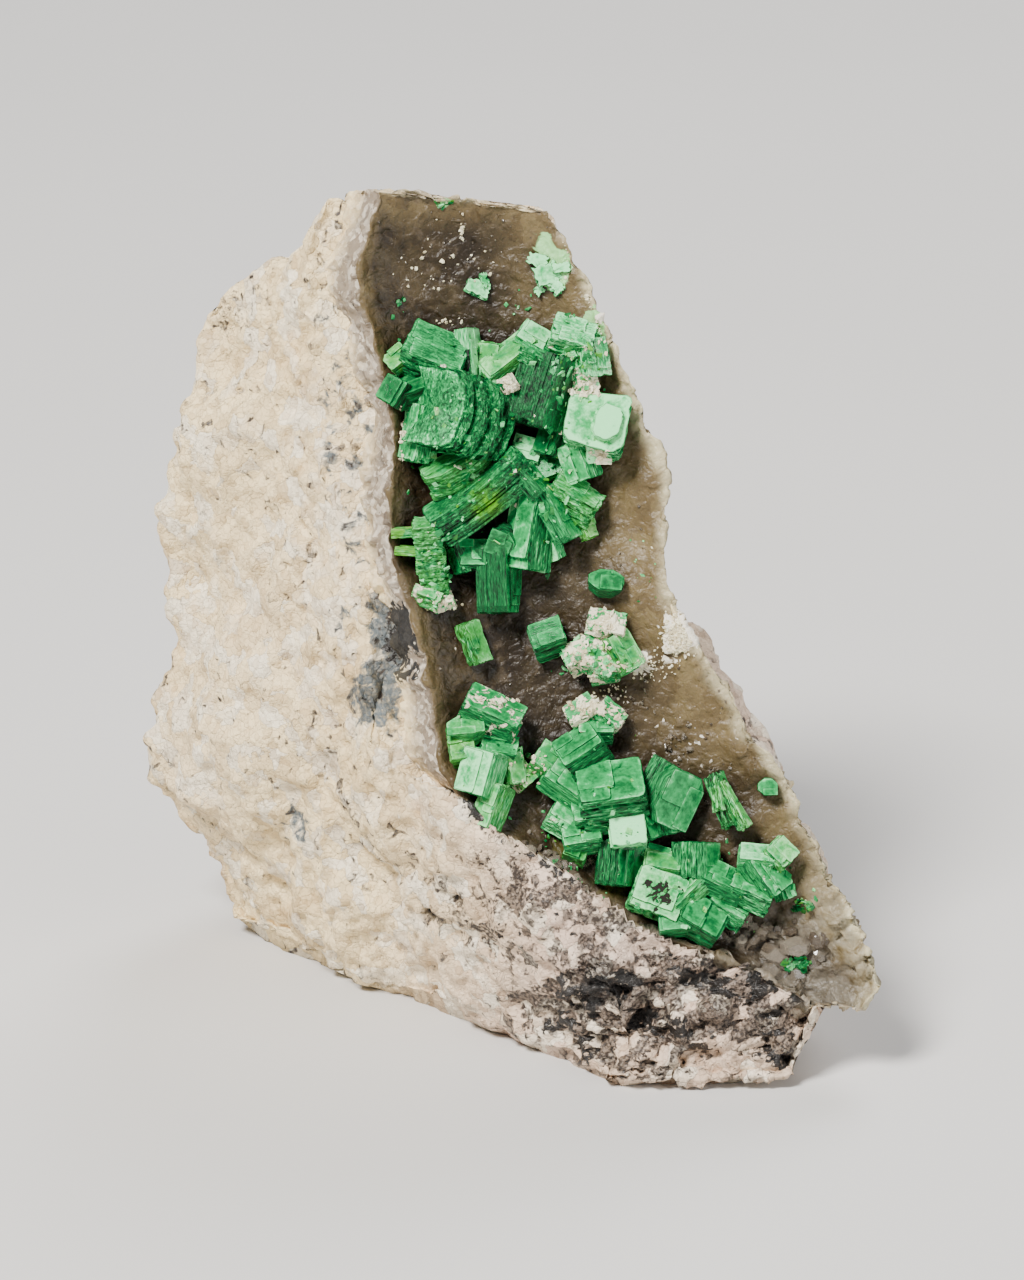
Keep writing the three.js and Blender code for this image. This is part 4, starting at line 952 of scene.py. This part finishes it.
def makeCrust():
    # the rings moved out by small quartz tips, facets and blocks, sharper along the rim and on the
    # broken walls, with the places of what is pale, clear, coated or stained, and of the painted shade
    # round the crystals' feet, laid on it
    faceRings, columns = crustRings()
    x, s = faceRings[..., 0], faceRings[..., 1]
    q = acrossCrust(x, s)
    drop = crust["slant"] * np.clip(s - crust["slantFrom"], 0, None) * q
    part = np.repeat(np.arange(4), columns)[None] + 0 * x  # 0 front, 1 right wall, 2 back, 3 left wall
    ends = np.ones(len(faceRings))
    ends[crust["endRows"]:-crust["endRows"]] = 0
    wall = ((part == 3) | (ends[:, None] > 0)) * 1.0
    wall = np.maximum(wall, (part == 1) * (0.2 + 0.2 * wander(faceRings, 1.6, 83)))
    bared = layered(wander, faceRings, crust["bared"]) + ramp(-faceRings[..., 2], 0.4, 2.6)
    bared = (part == 1) * ramp(bared, 0.55, 0.75)
    wall = np.maximum(wall, bared)
    lip = np.maximum(ramp(q, 0.50, 0.95), 0.8 * ramp(drop + s, 43.0, 45.2))
    lip = np.maximum(lip, 0.8 * ramp(1 - q, 0.94, 1.0))
    # painted shade: darkest round the foot of each crystal
    foot = np.zeros_like(x)
    for crystals in clusters.values():
        for look in crystals:
            reach = 0.6 * max(look["size"])
            foot += np.exp(-((x - look["at"][0]) ** 2 + (s - look["at"][1]) ** 2) / reach ** 2)
    clear = ramp(x, 11.0, 14.0) * ramp(-s, -11, -8.5)
    clear += 0.8 * ramp(0.09 - q, 0, 0.09) * ramp(-s, -14.5, -12.5)
    rings = onFace(x, s, faceRings[..., 2])
    out = outwards(rings)
    onFront = (part == 0) & (ends[:, None] == 0)
    tipRise, tipSize = crust["tip"]
    cell, _, away = cells(rings, tipSize, 81)
    tips = tipSize * (0.5 - np.linalg.norm(away, axis=-1)) * (0.4 + 0.6 * chance(cell, 84))
    relief = tipRise * tips + layered(facets, rings, crust["druse"]) + 0.06 * wander(rings, 0.8, 90)
    relief += lip * layered(blocks, rings, crust["lipBlocks"]) + layered(blocks, rings, crust["swell"])
    rimRise, lowRimRise = crust["rimRise"]
    nearRim = (rimRise + lowRimRise * ramp(-s, -14, -9)) * ramp(q, 0.86, 0.98) * (part < 1.5)
    relief -= crust["edgeDrop"] * ramp(0.05 - q, 0, 0.05) * ramp(-s, -14.5, -12.5)
    relief = onFront * (relief + clear * layered(facets, rings, crust["clearFacets"]))
    relief += nearRim * layered(facets, rings, crust["rimFacets"])
    relief += ((wall > 0.5) * 0.9 + (part == 1) * 0.7) * layered(facets, rings, crust["broken"])
    crumb = onFront * spots(x, s, crust["crumb"]) * (0.6 + 0.8 * chance(cells(rings, 0.5, 97)[0], 98))
    relief += crust["crumbRise"] * ramp(crumb, 0.3, 0.7) * (0.5 + chance(cells(rings, 0.4, 99)[0], 98))
    rings = rings + out * relief[..., None]
    points, quads, triangles = tube(rings)
    rim = ramp(q + 0.03 * wander(rings, 1.0, 87), 0.93, 1.0) * 0.95 * (part == 0)
    rim += (part == 1) * np.clip(0.3 + 0.6 * wander(rings, 1.1, 85) + 0.3 * wander(rings, 0.4, 88), 0, 1)
    rim += 0.32 * ramp(q, 0.72, 0.95) * ramp(-s, -13.5, -8) * (part == 0)
    rim = np.maximum(rim, 0.7 * ramp(drop + s, 45.0, 45.4) * onFront)
    outer = (part == 3) * ramp(crustEdge("left", s) - x, 0.7, 1.7) + 0.5 * (ends[:, None] > 0) + bared
    laid = {"lip": lip, "wall": wall, "rim": rim, "crumb": crumb, "clear": np.clip(clear, 0, 1),
            "outer": outer, "foot": np.clip(0.9 * foot, 0, 1) * onFront,
            "band": spots(x, s, crust["band"]) * (part == 3),
            "glint": np.clip(0.55 + spots(x, s, crust["glint"]), 0, 1.5) * onFront}
    for label in ("mint", "olive"):
        laid[label] = np.clip(spots(x, s, crust[label]), 0, 1) * onFront
    laid = {label: withEnds(values + 0 * x) for label, values in laid.items()}
    return makePiece("smokyQuartzCrust", points, quads, triangles, crustMaterial(), "smoky_quartz",
                     ["smoky_quartz_crust"], smooth=True, **laid)


# Torbernite

torberniteLook = {
    "deep": (0.0003, 0.0028, 0.0012), "dark": (0.0005, 0.023, 0.0075), "main": (0.003, 0.125, 0.030),
    "light": (0.022, 0.380, 0.100), "mint": (0.31, 0.89, 0.40), "lime": (0.10, 0.40, 0.002),
    "limeDark": (0.022, 0.10, 0.002), "limePale": (0.36, 0.58, 0.14), "coat": (0.87, 0.82, 0.60),
    "pit": (0.006, 0.005, 0.0012),
}


def torberniteMaterial():
    # books of plates: streaks run along the plates on their edges, soft patches on their faces
    look = torberniteLook
    material, tree, shader = newMaterial("torbernite")
    place = inMillimetres(tree)
    book = painted(tree, "book", "Vector")
    face = painted(tree, "face")
    broad = noise(vectors("MULTIPLY", book, (1.3, 8.0, 7.3)), 1.0, 3.0, 0.6)
    sharp = noise(vectors("MULTIPLY", book, (3.2, 22.0, 3.1)), 1.0, 2.0, 0.3)
    patch = noise(place, 1.5, 4.0, 0.8)
    fleck = noise(place, 6.0, 3.0)
    crumbly = noise(place, 4.2, 5.0, 1.2) * 0.8 + 0.1
    streak = between(painted(tree, "hackly"), broad * 0.55 + sharp * 0.45, crumbly)
    onSide = (streak - 0.5) * (1.1 + painted(tree, "fray") * 1.35) + 0.45
    onFacet = swing(patch, 0.7) + 0.56 + swing(fleck, 0.35)
    value = between(face, onSide, onFacet) + painted(tree, "tone") * 0.50
    # paler plate rims: partly a pale coating, partly painted highlight along the edges
    value = (value + painted(tree, "rim") * 0.22).held()
    colour = colourRamp(value, [[0.05, look["deep"]], [0.25, look["dark"]], [0.50, look["main"]],
                                [0.74, look["light"]], [0.97, look["mint"]]])
    yellow = colourRamp(value, [[0.1, look["limeDark"]], [0.6, look["lime"]], [1.0, look["limePale"]]])
    colour = blend(patchy("lime", patch, 0.30, 0.55).held(), colour, yellow)
    # painted shade: pits coloured near black and sunk in the bump
    holes = blotched("pits", noise(place, 2.4, 4.0, 0.5), 2.4, 0.78, 0.90)
    colour = blend(holes, colour, look["pit"])
    clots = swing(patch, 1.6) + swing(fleck, 0.6)
    coat = spread(painted(tree, "white") + clots, 0.44, 0.54)
    colour = blend(coat, colour, look["coat"])
    roughness = (between(face, 0.50, 0.27) + (coat + holes) * 0.4).held()
    height = streak * (1.3 - face) + fleck * (0.14 + coat) - holes
    finishSurface(shader, colour, roughness, height, 0.0001, **{"IOR": 1.58, "Specular IOR Level": 0.22})
    return material


bookLook = {
    "scale": 1.15,  # how much larger the crystals have grown than their listed sizes
    "plate": 0.11,  # usual thickness of one plate
    "sidePoints": 9,  # points along each side of a plate
    "retreat": 0.09,  # how far a group of plates may end inside the widest one, of the book's width
    "breaks": (0.3, 0.15),  # share of plates whose side breaks anew, and how much more when frayed
    "ragged": 0.032, "wobble": 0.022,  # how far plate edges and whole sides wander
    "corner": (0.02, 0.20),  # how much of a corner is broken off, at least and at most
    "turn": 0.004,  # how far each plate turns on the one below, in radians
    "endShares": (0.97, 0.9, 0.6, 0.3),
    # a last small plate: least and most of the book's edge and depth that it takes up, and its thickness
    "terrace": [(0.45, 0.93), (0.3, 0.8), (0.06, 0.16)], "terraceInset": 0.94, "terraceSink": 0.02,
}


def squareOutline(perSide):
    # points round a unit square, and the direction straight out of the side that each one is on
    t = np.arange(4 * perSide) / perSide
    side, along = t.astype(int), (t % 1) * 2 - 1
    a = np.choose(side, [1 + 0 * along, -along, -1 + 0 * along, along])
    b = np.choose(side, [along, 1 + 0 * along, -along, -1 + 0 * along])
    return a, b, np.choose(side, [1, 0, -1, 0]), np.choose(side, [0, 1, 0, -1])


def plateOutlines(width, depth, count, cut, taper, fray, random):
    # the outline of each plate: a rectangle whose four sides lie where they last broke, with ragged
    # edges and broken corners, narrower along the taper and turned a little from plate to plate
    a, b, outA, outB = squareOutline(bookLook["sidePoints"])
    limit = bookLook["retreat"] * min(width, depth) * (0.5 + 0.5 * fray)
    least, more = bookLook["breaks"]
    fresh = random.random((count, 4)) < least + more * fray
    fresh[0] = True
    level = limit * random.random((count, 4)) ** 1.6
    latest = np.maximum.accumulate(np.where(fresh, np.arange(count)[:, None], 0), axis=0)
    wobble = np.abs(random.normal(0, bookLook["wobble"] * fray, (count, 4)))
    right, far, left, near = (np.take_along_axis(level, latest, 0) + wobble).T[..., None]
    ragged = random.normal(0, 1, (count, len(a)))
    shared = np.take_along_axis(ragged, np.repeat(latest[:, :1], len(a), 1), 0)
    ragged = 0.5 * (ragged + np.roll(ragged, 1, 1)) + 0.8 * shared
    ragged = np.abs(ragged) * bookLook["ragged"] * fray
    u = a * (width / 2 - np.where(a > 0, right, left)) - outA * ragged
    v = b * (depth / 2 - np.where(b > 0, far, near)) - outB * ragged
    least, most = bookLook["corner"]
    broken = np.take_along_axis(least + most * fray * random.random((count, 4)) ** 3, latest, 0)
    corner = np.where(a > 0, np.where(b > 0, 0, 3), np.where(b > 0, 1, 2))
    clip = 2 - 2 * cut - np.take_along_axis(broken, np.repeat(corner[None], count, 0), 1)
    clip = np.minimum(clip / (np.abs(a) + np.abs(b)), 1)
    u, v = u * clip, v * clip
    v *= 1 - taper * (0.5 - u / width)
    turn = np.cumsum(random.normal(0, bookLook["turn"] * fray, count))[:, None]
    return u * np.cos(turn) - v * np.sin(turn), u * np.sin(turn) + v * np.cos(turn)


def stack(size, cut, taper, fray, fan, bow, random, terraces=True):
    # one book in its own axes: two rings round each plate, at its lower and upper face, fanned and
    # bowed, closed by flat faces. For each part it gives its rings, the place of each point in the
    # streaks, which rings are on the flat faces and which are pale edges
    width, depth, thick = size
    count = max(2, int(round(thick / bookLook["plate"])))
    u, v = plateOutlines(width, depth, count, cut, taper, fray, random)
    share = np.concatenate([[0], np.cumsum(random.uniform(0.5, 1.5, count))])
    share = share / share[-1] - 0.5
    u, v = np.repeat(u, 2, 0), np.repeat(v, 2, 0)
    level = np.stack([share[:-1], share[1:]], 1).ravel()[:, None]
    w = level * thick * (1 + fan * v / (depth / 2)) + bow * thick * (u / (width / 2)) ** 2
    rings = np.stack([u, v, w], -1)
    ends = np.array(bookLook["endShares"])[:, None, None]
    top = rings[-1] * ends + rings[-1].mean(0) * (1 - ends)
    base = rings[0] * ends[::-1] + rings[0].mean(0) * (1 - ends[::-1])
    flat = np.ones(len(rings) + 2 * len(ends))
    flat[len(ends):-len(ends)] = 0
    # pale edges: partly a pale coating, partly painted highlight, most on the rim of the top plate
    edge = np.concatenate([np.zeros(len(ends)), 0.3 * (random.random(len(rings)) < 0.4), [1, 0.5, 0, 0]])
    around = np.cumsum(np.hypot(np.gradient(u[0]), np.gradient(v[0])))
    rings = np.concatenate([base, rings, top])
    onCap = flat[:, None] > 0
    seed = np.full(rings.shape[:2], random.random() * 9)
    grainAlong = np.where(onCap, rings[..., 0], around)
    grainAcross = np.where(onCap, rings[..., 1], rings[..., 2])
    found = [(rings, np.stack([grainAlong, grainAcross, seed], -1), flat, edge)]
    if terraces:
        # a last, smaller plate or two on the front face
        edgeShare, depthShare, thinness = bookLook["terrace"]
        inset = bookLook["terraceInset"]
        for _ in range(2 if min(width, depth) > 1.4 else 1):
            small = [width * random.uniform(*edgeShare), depth * random.uniform(*depthShare),
                     random.uniform(*thinness)]
            slide = random.choice([-0.5, 0.5], 2) * [width * inset - small[0], depth * inset - small[1]]
            lift = thick / 2 + small[2] / 2 - bookLook["terraceSink"]
            for plateRings, *rest in stack(small, 0.02, taper, 0.5 * fray, 0, 0, random, False):
                found.append((plateRings + np.array([*slide, lift]), *rest))
    return found


def bookFrame(look):
    # directions of a crystal's visible edge, depth and thickness, and its middle on the crust
    x, s, rise = look["at"]
    toward, lean = np.radians(look["toward"]), np.radians(look["lean"])
    across, up = np.array([1.0, 0, 0]), specimen["up"]
    heading = across * np.cos(toward) + up * np.sin(toward)
    edge = across * np.sin(toward) - up * np.cos(toward)
    axis = specimen["out"] * np.cos(lean) + heading * np.sin(lean)
    middle = onFace(x, s, crustDepth(acrossCrust(x, s), s) + rise)
    return np.stack([edge, np.cross(axis, edge), axis]), middle


def makeCrystals(material):
    # each book's rings turned the way it faces and set on the crust, a whole cluster in one mesh
    random = np.random.default_rng(19)
    pieces = []
    for node, crystals in clusters.items():
        gathered = []
        offset = 0
        for look in crystals:
            axes, middle = bookFrame(look)
            size = np.array(look["size"]) * bookLook["scale"]
            shape = [look[label] for label in ("cut", "taper", "fray", "fan", "bow")]
            parts = stack(size, *shape, random, not look["plain"])
            for rings, streaks, flat, edged in parts:
                points, quads, triangles = tube(rings @ axes + middle)
                count = len(points)
                streaks = np.concatenate([streaks.reshape(-1, 3), streaks[0, :1], streaks[-1, :1]])
                face = np.append(np.repeat(flat, rings.shape[1]), [1, 1]) * (1 - 0.9 * look["hackly"])
                rim = np.append(np.repeat(edged, rings.shape[1]), [0, 0])
                own = np.concatenate([rings.reshape(-1, 3), rings[:1].mean(1), rings[-1:].mean(1)])
                spot = look["limeSpot"] * np.exp(-(own[:, 0] ** 2 + own[:, 2] ** 2) / 0.4) * 1.7
                fromMiddle = np.hypot(own[:, 0] / size[0], own[:, 1] / size[1])
                laid = {label: np.full(count, look[label]) for label in ("tone", "white", "fray")}
                gathered.append(dict(
                    points=points, quads=quads + offset, triangles=triangles + offset, book=streaks,
                    face=face, rim=rim, lime=np.clip(look["lime"] + spot, 0, 1),
                    hackly=np.full(count, 0.6 * look["hackly"]),
                    pits=look["pits"] * np.clip(1.3 - 1.8 * fromMiddle, 0, 1), **laid,
                ))
                offset += count
        joined = {label: np.concatenate([part[label] for part in gathered]) for label in gathered[0]}
        name = node.replace("torbernite_", "torbernite.")
        surface = [joined.pop(label) for label in ("points", "quads", "triangles")]
        pieces.append(makePiece(name, *surface, material, "torbernite", [node], **joined))
    return pieces


crustPiece = makeCrust()
torbernite = torberniteMaterial()
crystalPieces = makeCrystals(torbernite)


# Quartz grains and crumbs

def landingTree(pieces):
    # one search tree over the crust and all crystals, for the grains to land on
    points, faces, offset = [], [], 0
    for piece in pieces:
        mesh = piece.data
        mesh.calc_loop_triangles()
        place = np.zeros(len(mesh.vertices) * 3, np.float32)
        mesh.vertices.foreach_get("co", place)
        corners = np.zeros(len(mesh.loop_triangles) * 3, np.int32)
        mesh.loop_triangles.foreach_get("vertices", corners)
        points.append(place.reshape(-1, 3))
        faces.append(corners.reshape(-1, 3) + offset)
        offset += len(mesh.vertices)
    return BVHTree.FromPolygons(np.concatenate(points).tolist(), np.concatenate(faces).tolist())


def smallSolids(middles, axes, sizes, profile, sides, rough, random):
    # many small closed shapes at once: a profile of (radius, height) rings round each one's axis
    count = len(middles)
    turn = 2 * np.pi * (np.arange(sides)[None] / sides + random.random((count, 1)))
    radius, height = np.array(profile).T[:, None, :, None]
    along = np.ones_like(turn)[:, None]
    local = np.stack([radius * np.cos(turn)[:, None], radius * np.sin(turn)[:, None], height * along], -1)
    local = local * (1 + rough * random.normal(0, 1, (count, len(profile), sides, 1)))
    ends = np.tile([[0, 0, profile[0][1]], [0, 0, profile[-1][1]]], (count, 1, 1))
    local = np.concatenate([local.reshape(count, -1, 3), ends], axis=1) * sizes[:, None]
    axes = axes / np.linalg.norm(axes, axis=1, keepdims=True)
    u = np.cross(axes, random.normal(0, 1, (count, 3)))
    u /= np.linalg.norm(u, axis=1, keepdims=True)
    basis = np.stack([u, np.cross(axes, u), axes], 1)
    points = local @ basis + middles[:, None]
    quads, triangles = ringFaces(len(profile), sides)
    each = len(profile) * sides + 2
    step = np.arange(count)[:, None, None] * each
    return points.reshape(-1, 3), (quads + step).reshape(-1, 4), (triangles + step).reshape(-1, 3), each


def grainMaterial(name, dull, bright, roughness, **constants):
    # each grain has its own tone from dull to bright, a little cloudy inside
    material, tree, shader = newMaterial(name)
    cloud = noise(inMillimetres(tree), 3.0, 3.0)
    share = painted(tree, "tone") + swing(cloud, 0.6)
    colour = blend(share.held(), dull, bright)
    finishSurface(shader, colour, roughness + cloud * 0.2, cloud, 0.00003, **constants)
    return material


sprinkle = {
    "quartz": [(0.92, -0.9), (1.0, 0.25), (0.55, 0.85)],  # rings of radius and height: a blunt prism
    "crumb": [(0.6, -0.5), (1.0, -0.1), (0.8, 0.4), (0.35, 0.6)],
    "chip": [(0.96, -0.16), (1.0, 0.16)],
    # count, middle and reach on the front, smallest and largest grain, how far it stands out
    "clearQuartz": [
        [16, (14.2, 7.0), (1.0, 1.0), (0.45, 0.95), -0.3],
        [16, (8.6, 17.4), (0.8, 0.9), (0.06, 0.15), 0.06],
        [16, (6.2, 19.8), (0.6, 0.9), (0.06, 0.14), 0.06],
        [30, (12.2, 7.9), (2.0, 0.7), (0.3, 0.7), -0.2],
        [60, (4.5, 27.0), (1.6, 2.0), (0.03, 0.08), 0.03],
        [70, (1.0, 20.5), (2.4, 3.0), (0.03, 0.08), 0.03],
        [60, (-2.2, 42.5), (2.6, 1.6), (0.03, 0.08), 0.03],
        [90, (10.0, 15.6), (2.0, 3.0), (0.03, 0.1), 0.03],
        [40, (4.0, 12.0), (3.2, 0.6), (0.15, 0.4), 0.05],
        [3, (8.1, 17.35), (0.7, 0.1), (0.16, 0.2), 0.1],
    ],
    "crumbs": [
        [300, (8.3, 22.9), (0.5, 0.65), (0.04, 0.13), 0.03],
        [90, (6.9, 21.4), (0.7, 0.4), (0.03, 0.08), 0.03],
        [46, (4.75, 23.6), (0.4, 0.3), (0.12, 0.36), -0.05],
        [34, (3.3, 22.2), (0.45, 0.35), (0.08, 0.30), -0.04],
        [30, (4.6, 21.6), (0.6, 0.5), (0.06, 0.28), -0.04],
        [44, (3.8, 19.4), (0.55, 0.22), (0.10, 0.34), -0.05],
        [16, (4.9, 19.0), (0.4, 0.3), (0.06, 0.22), -0.03],
        [26, (-0.9, 19.7), (0.6, 0.15), (0.05, 0.2), -0.03],
        [30, (-0.2, 35.5), (0.25, 0.25), (0.06, 0.16), 0.03],
        [50, (3.6, 35.3), (0.4, 0.35), (0.06, 0.2), 0.03],
        [40, (-3.6, 24.6), (0.6, 0.25), (0.04, 0.14), 0.03],
        [12, (-3.3, 38.8), (0.5, 0.15), (0.04, 0.12), 0.03],
        [40, (-3.2, 41.2), (1.7, 1.1), (0.03, 0.12), 0.03],
        [24, (4.4, 38.8), (0.2, 1.2), (0.04, 0.14), 0.03],
        [12, (3.0, 42.0), (0.4, 0.6), (0.03, 0.09), 0.03],
        [30, (5.0, 20.2), (0.6, 0.4), (0.03, 0.07), 0.03],
        [20, (4.5, 32.1), (0.3, 0.15), (0.06, 0.14), 0.03],
        [22, (-2.5, 43.3), (0.07, 0.4), (0.05, 0.13), 0.03],
        [30, (-5.5, 33.0), (0.15, 0.9), (0.04, 0.14), 0.03],
        [36, (1.0, 16.5), (0.7, 0.5), (0.04, 0.13), 0.03],
    ],
    "chips": [
        [150, (-1.7, 32.5), (2.0, 3.2), (0.07, 0.26), 0.02],
        [110, (1.8, 31.5), (1.7, 2.8), (0.07, 0.28), 0.02],
        [90, (3.2, 36.6), (1.0, 1.4), (0.07, 0.3), 0.02],
        [60, (-3.9, 26.5), (0.6, 1.6), (0.07, 0.26), 0.02],
        [60, (4.4, 21.9), (0.9, 0.9), (0.07, 0.26), 0.02],
        [30, (0.2, 16.4), (1.2, 1.3), (0.07, 0.24), 0.02],
        [50, (4.2, 14.0), (1.8, 2.2), (0.06, 0.24), 0.02],
        [50, (9.4, 10.4), (2.4, 1.4), (0.06, 0.24), 0.02],
        [24, (13.0, 10.6), (0.8, 1.0), (0.06, 0.24), 0.02],
        [8, (-5.5, 39.2), (0.4, 0.8), (0.08, 0.2), 0.04],
        [7, (0.8, 39.6), (0.8, 0.5), (0.08, 0.22), 0.04],
        [6, (-3.4, 44.6), (0.3, 0.2), (0.14, 0.3), 0.04],
        [60, (14.4, 6.5), (0.5, 0.2), (0.1, 0.32), 0.03],
        [26, (14.7, 9.4), (0.35, 0.25), (0.1, 0.3), 0.03],
        [12, (6.6, 27.2), (0.4, 1.4), (0.04, 0.12), 0.03],
        [20, (2.6, 12.2), (1.0, 0.8), (0.06, 0.2), 0.03],
    ],
}


def thrown(patches, tree, random):
    # places, directions and sizes of grains thrown at the front round each listed middle, each one
    # resting on the first surface it meets
    across, up, sink, sizes = [], [], [], []
    for count, middle, reach, (least, most), rise in patches:
        x, s = np.array(middle)[:, None] + np.array(reach)[:, None] * random.normal(0, 0.75, (2, count))
        across.append(np.clip(x, crustEdge("left", s) + 0.3, crustEdge("right", s) - 0.4))
        up.append(s)
        sink.append(np.full(count, rise) * random.uniform(0.7, 1.05, count))
        size = least + (most - least) * random.random(count) ** 2
        sizes.append(size[:, None] * random.uniform(0.5, 1.3, (count, 3)))
    across, up, sink, sizes = (np.concatenate(values) for values in (across, up, sink, sizes))
    starts = (onFace(across, up, 12) - specimen["planMiddle"]) * specimen["millimetre"]
    hits = [tree.ray_cast(Vector(start), Vector(-specimen["out"])) for start in starts]
    met = np.array([hit[0] is not None for hit in hits])
    places = np.array([hit[0] for hit in hits if hit[0]]) / specimen["millimetre"] + specimen["planMiddle"]
    normals = np.array([hit[1] for hit in hits if hit[0]])
    middles = places + normals * sink[met, None]
    return middles, normals + random.normal(0, 0.3, normals.shape), sizes[met]


def makeSprinkles():
    # grains of clear quartz, cream crumbs and green chips, each lot thrown at what stands there already
    random = np.random.default_rng(5)
    onCrust, onAll = landingTree([crustPiece]), landingTree([crustPiece, *crystalPieces])
    clear = grainMaterial("clearQuartz", (0.20, 0.155, 0.11), (0.55, 0.48, 0.38), 0.05,
                          **{"Transmission Weight": 0.7, "IOR": 1.54})
    pale = grainMaterial("crumb", (0.58, 0.50, 0.31), (0.90, 0.85, 0.64), 0.6)
    kinds = (("clearQuartz", clear, "quartz", 0.04, onCrust), ("crumbs", pale, "crumb", 0.34, onAll))
    pieces = [crustPiece, *crystalPieces]
    for name, material, profile, rough, tree in kinds:
        middles, axes, sizes = thrown(sprinkle[name], tree, random)
        *surface, each = smallSolids(middles, axes, sizes, sprinkle[profile], 6, rough, random)
        pieces.append(makePiece(name, *surface, material, "smoky_quartz",
                                tone=np.repeat(random.random(len(middles)), each)))
    # loose chips of torbernite plates, tipped every way, thrown last so that they lie on everything
    middles, axes, sizes = thrown(sprinkle["chips"], landingTree(pieces), random)
    axes += random.normal(0, 0.5, axes.shape)
    points, quads, triangles, each = smallSolids(middles, axes, sizes, sprinkle["chip"], 4, 0.06, random)
    count = len(middles)
    laid = {label: np.full(len(points), value) for label, value in
            (("face", 0.75), ("fray", 1.0), ("rim", 0.0), ("pits", 0.1), ("hackly", 0.3))}
    laid["tone"] = np.repeat(random.uniform(-0.2, 0.8, count), each)
    laid["lime"] = np.repeat(random.random(count) ** 7, each)
    laid["white"] = np.repeat(0.35 * random.random(count), each)
    makePiece("torbernite.chips", points, quads, triangles, torbernite, "torbernite", book=points * 1.3,
              **laid)


makeSprinkles()


# Floor, light and camera

studio = {
    "lens": 150.0, "filmHeight": 36.0, "viewHeight": 64.0,  # millimetres: what the frame's height takes in
    "aim": (0.0, 22.75),  # middle of the picture: across and up the slope
    "lookDown": np.radians(20),
}


def setStage():
    # a wide pale floor, a dim room and three soft boxes
    bpy.ops.mesh.primitive_plane_add(size=1.6, location=(0, 0.2, 0))
    floor = bpy.context.object
    floor.name = "floor"
    material, tree, shader = newMaterial("paleFloor")
    colour = blend(noise(inMillimetres(tree), 0.02), (0.60, 0.59, 0.575), (0.64, 0.63, 0.615))
    tree.links.new(colour.socket, shader.inputs["Base Color"])
    shader.inputs["Roughness"].default_value = 0.8
    floor.data.materials.append(material)

    world = bpy.data.worlds.new("paleRoom")
    bpy.context.scene.world = world
    world.use_nodes = True
    world.node_tree.nodes["Background"].inputs["Color"].default_value = (0.86, 0.87, 0.90, 1)
    world.node_tree.nodes["Background"].inputs["Strength"].default_value = 0.15

    lamps = {  # place, size and power of each soft box, all aimed at the middle of the specimen
        "keyLamp": [(-0.20, -0.26, 0.42), 0.14, 6.5, (1.0, 0.97, 0.93)],
        "fillLamp": [(0.34, -0.22, 0.16), 0.24, 0.9, (0.94, 0.97, 1.0)],
        "backLamp": [(0.10, 0.30, 0.36), 0.20, 1.6, (1.0, 1.0, 1.0)],
    }
    for name, (place, size, power, tint) in lamps.items():
        light = bpy.data.lights.new(name, "AREA")
        light.size, light.energy, light.color = size, power, tint
        lamp = bpy.data.objects.new(name, light)
        lamp.location = place
        aim = Vector((0, 0, 0.02)) - Vector(place)
        lamp.rotation_euler = aim.to_track_quat("-Z", "Y").to_euler()
        bpy.context.scene.collection.objects.link(lamp)


def setCamera():
    # square to the crusted front, far enough off for the chosen height of view
    lens = bpy.data.cameras.new("camera")
    lens.lens, lens.sensor_width = studio["lens"], studio["filmHeight"]
    distance = studio["viewHeight"] * studio["lens"] / studio["filmHeight"]
    target = onFace(*studio["aim"]) - specimen["planMiddle"]
    down = studio["lookDown"]
    away = np.array([0, -np.cos(down), np.sin(down)]) * distance
    camera = bpy.data.objects.new("camera", lens)
    camera.location = (target + away) * specimen["millimetre"]
    camera.rotation_euler = (np.pi / 2 - down, 0, 0)
    lens.clip_start = 0.01
    bpy.context.scene.collection.objects.link(camera)
    bpy.context.scene.camera = camera


setStage()
setCamera()
print("stage, lamps and camera set")
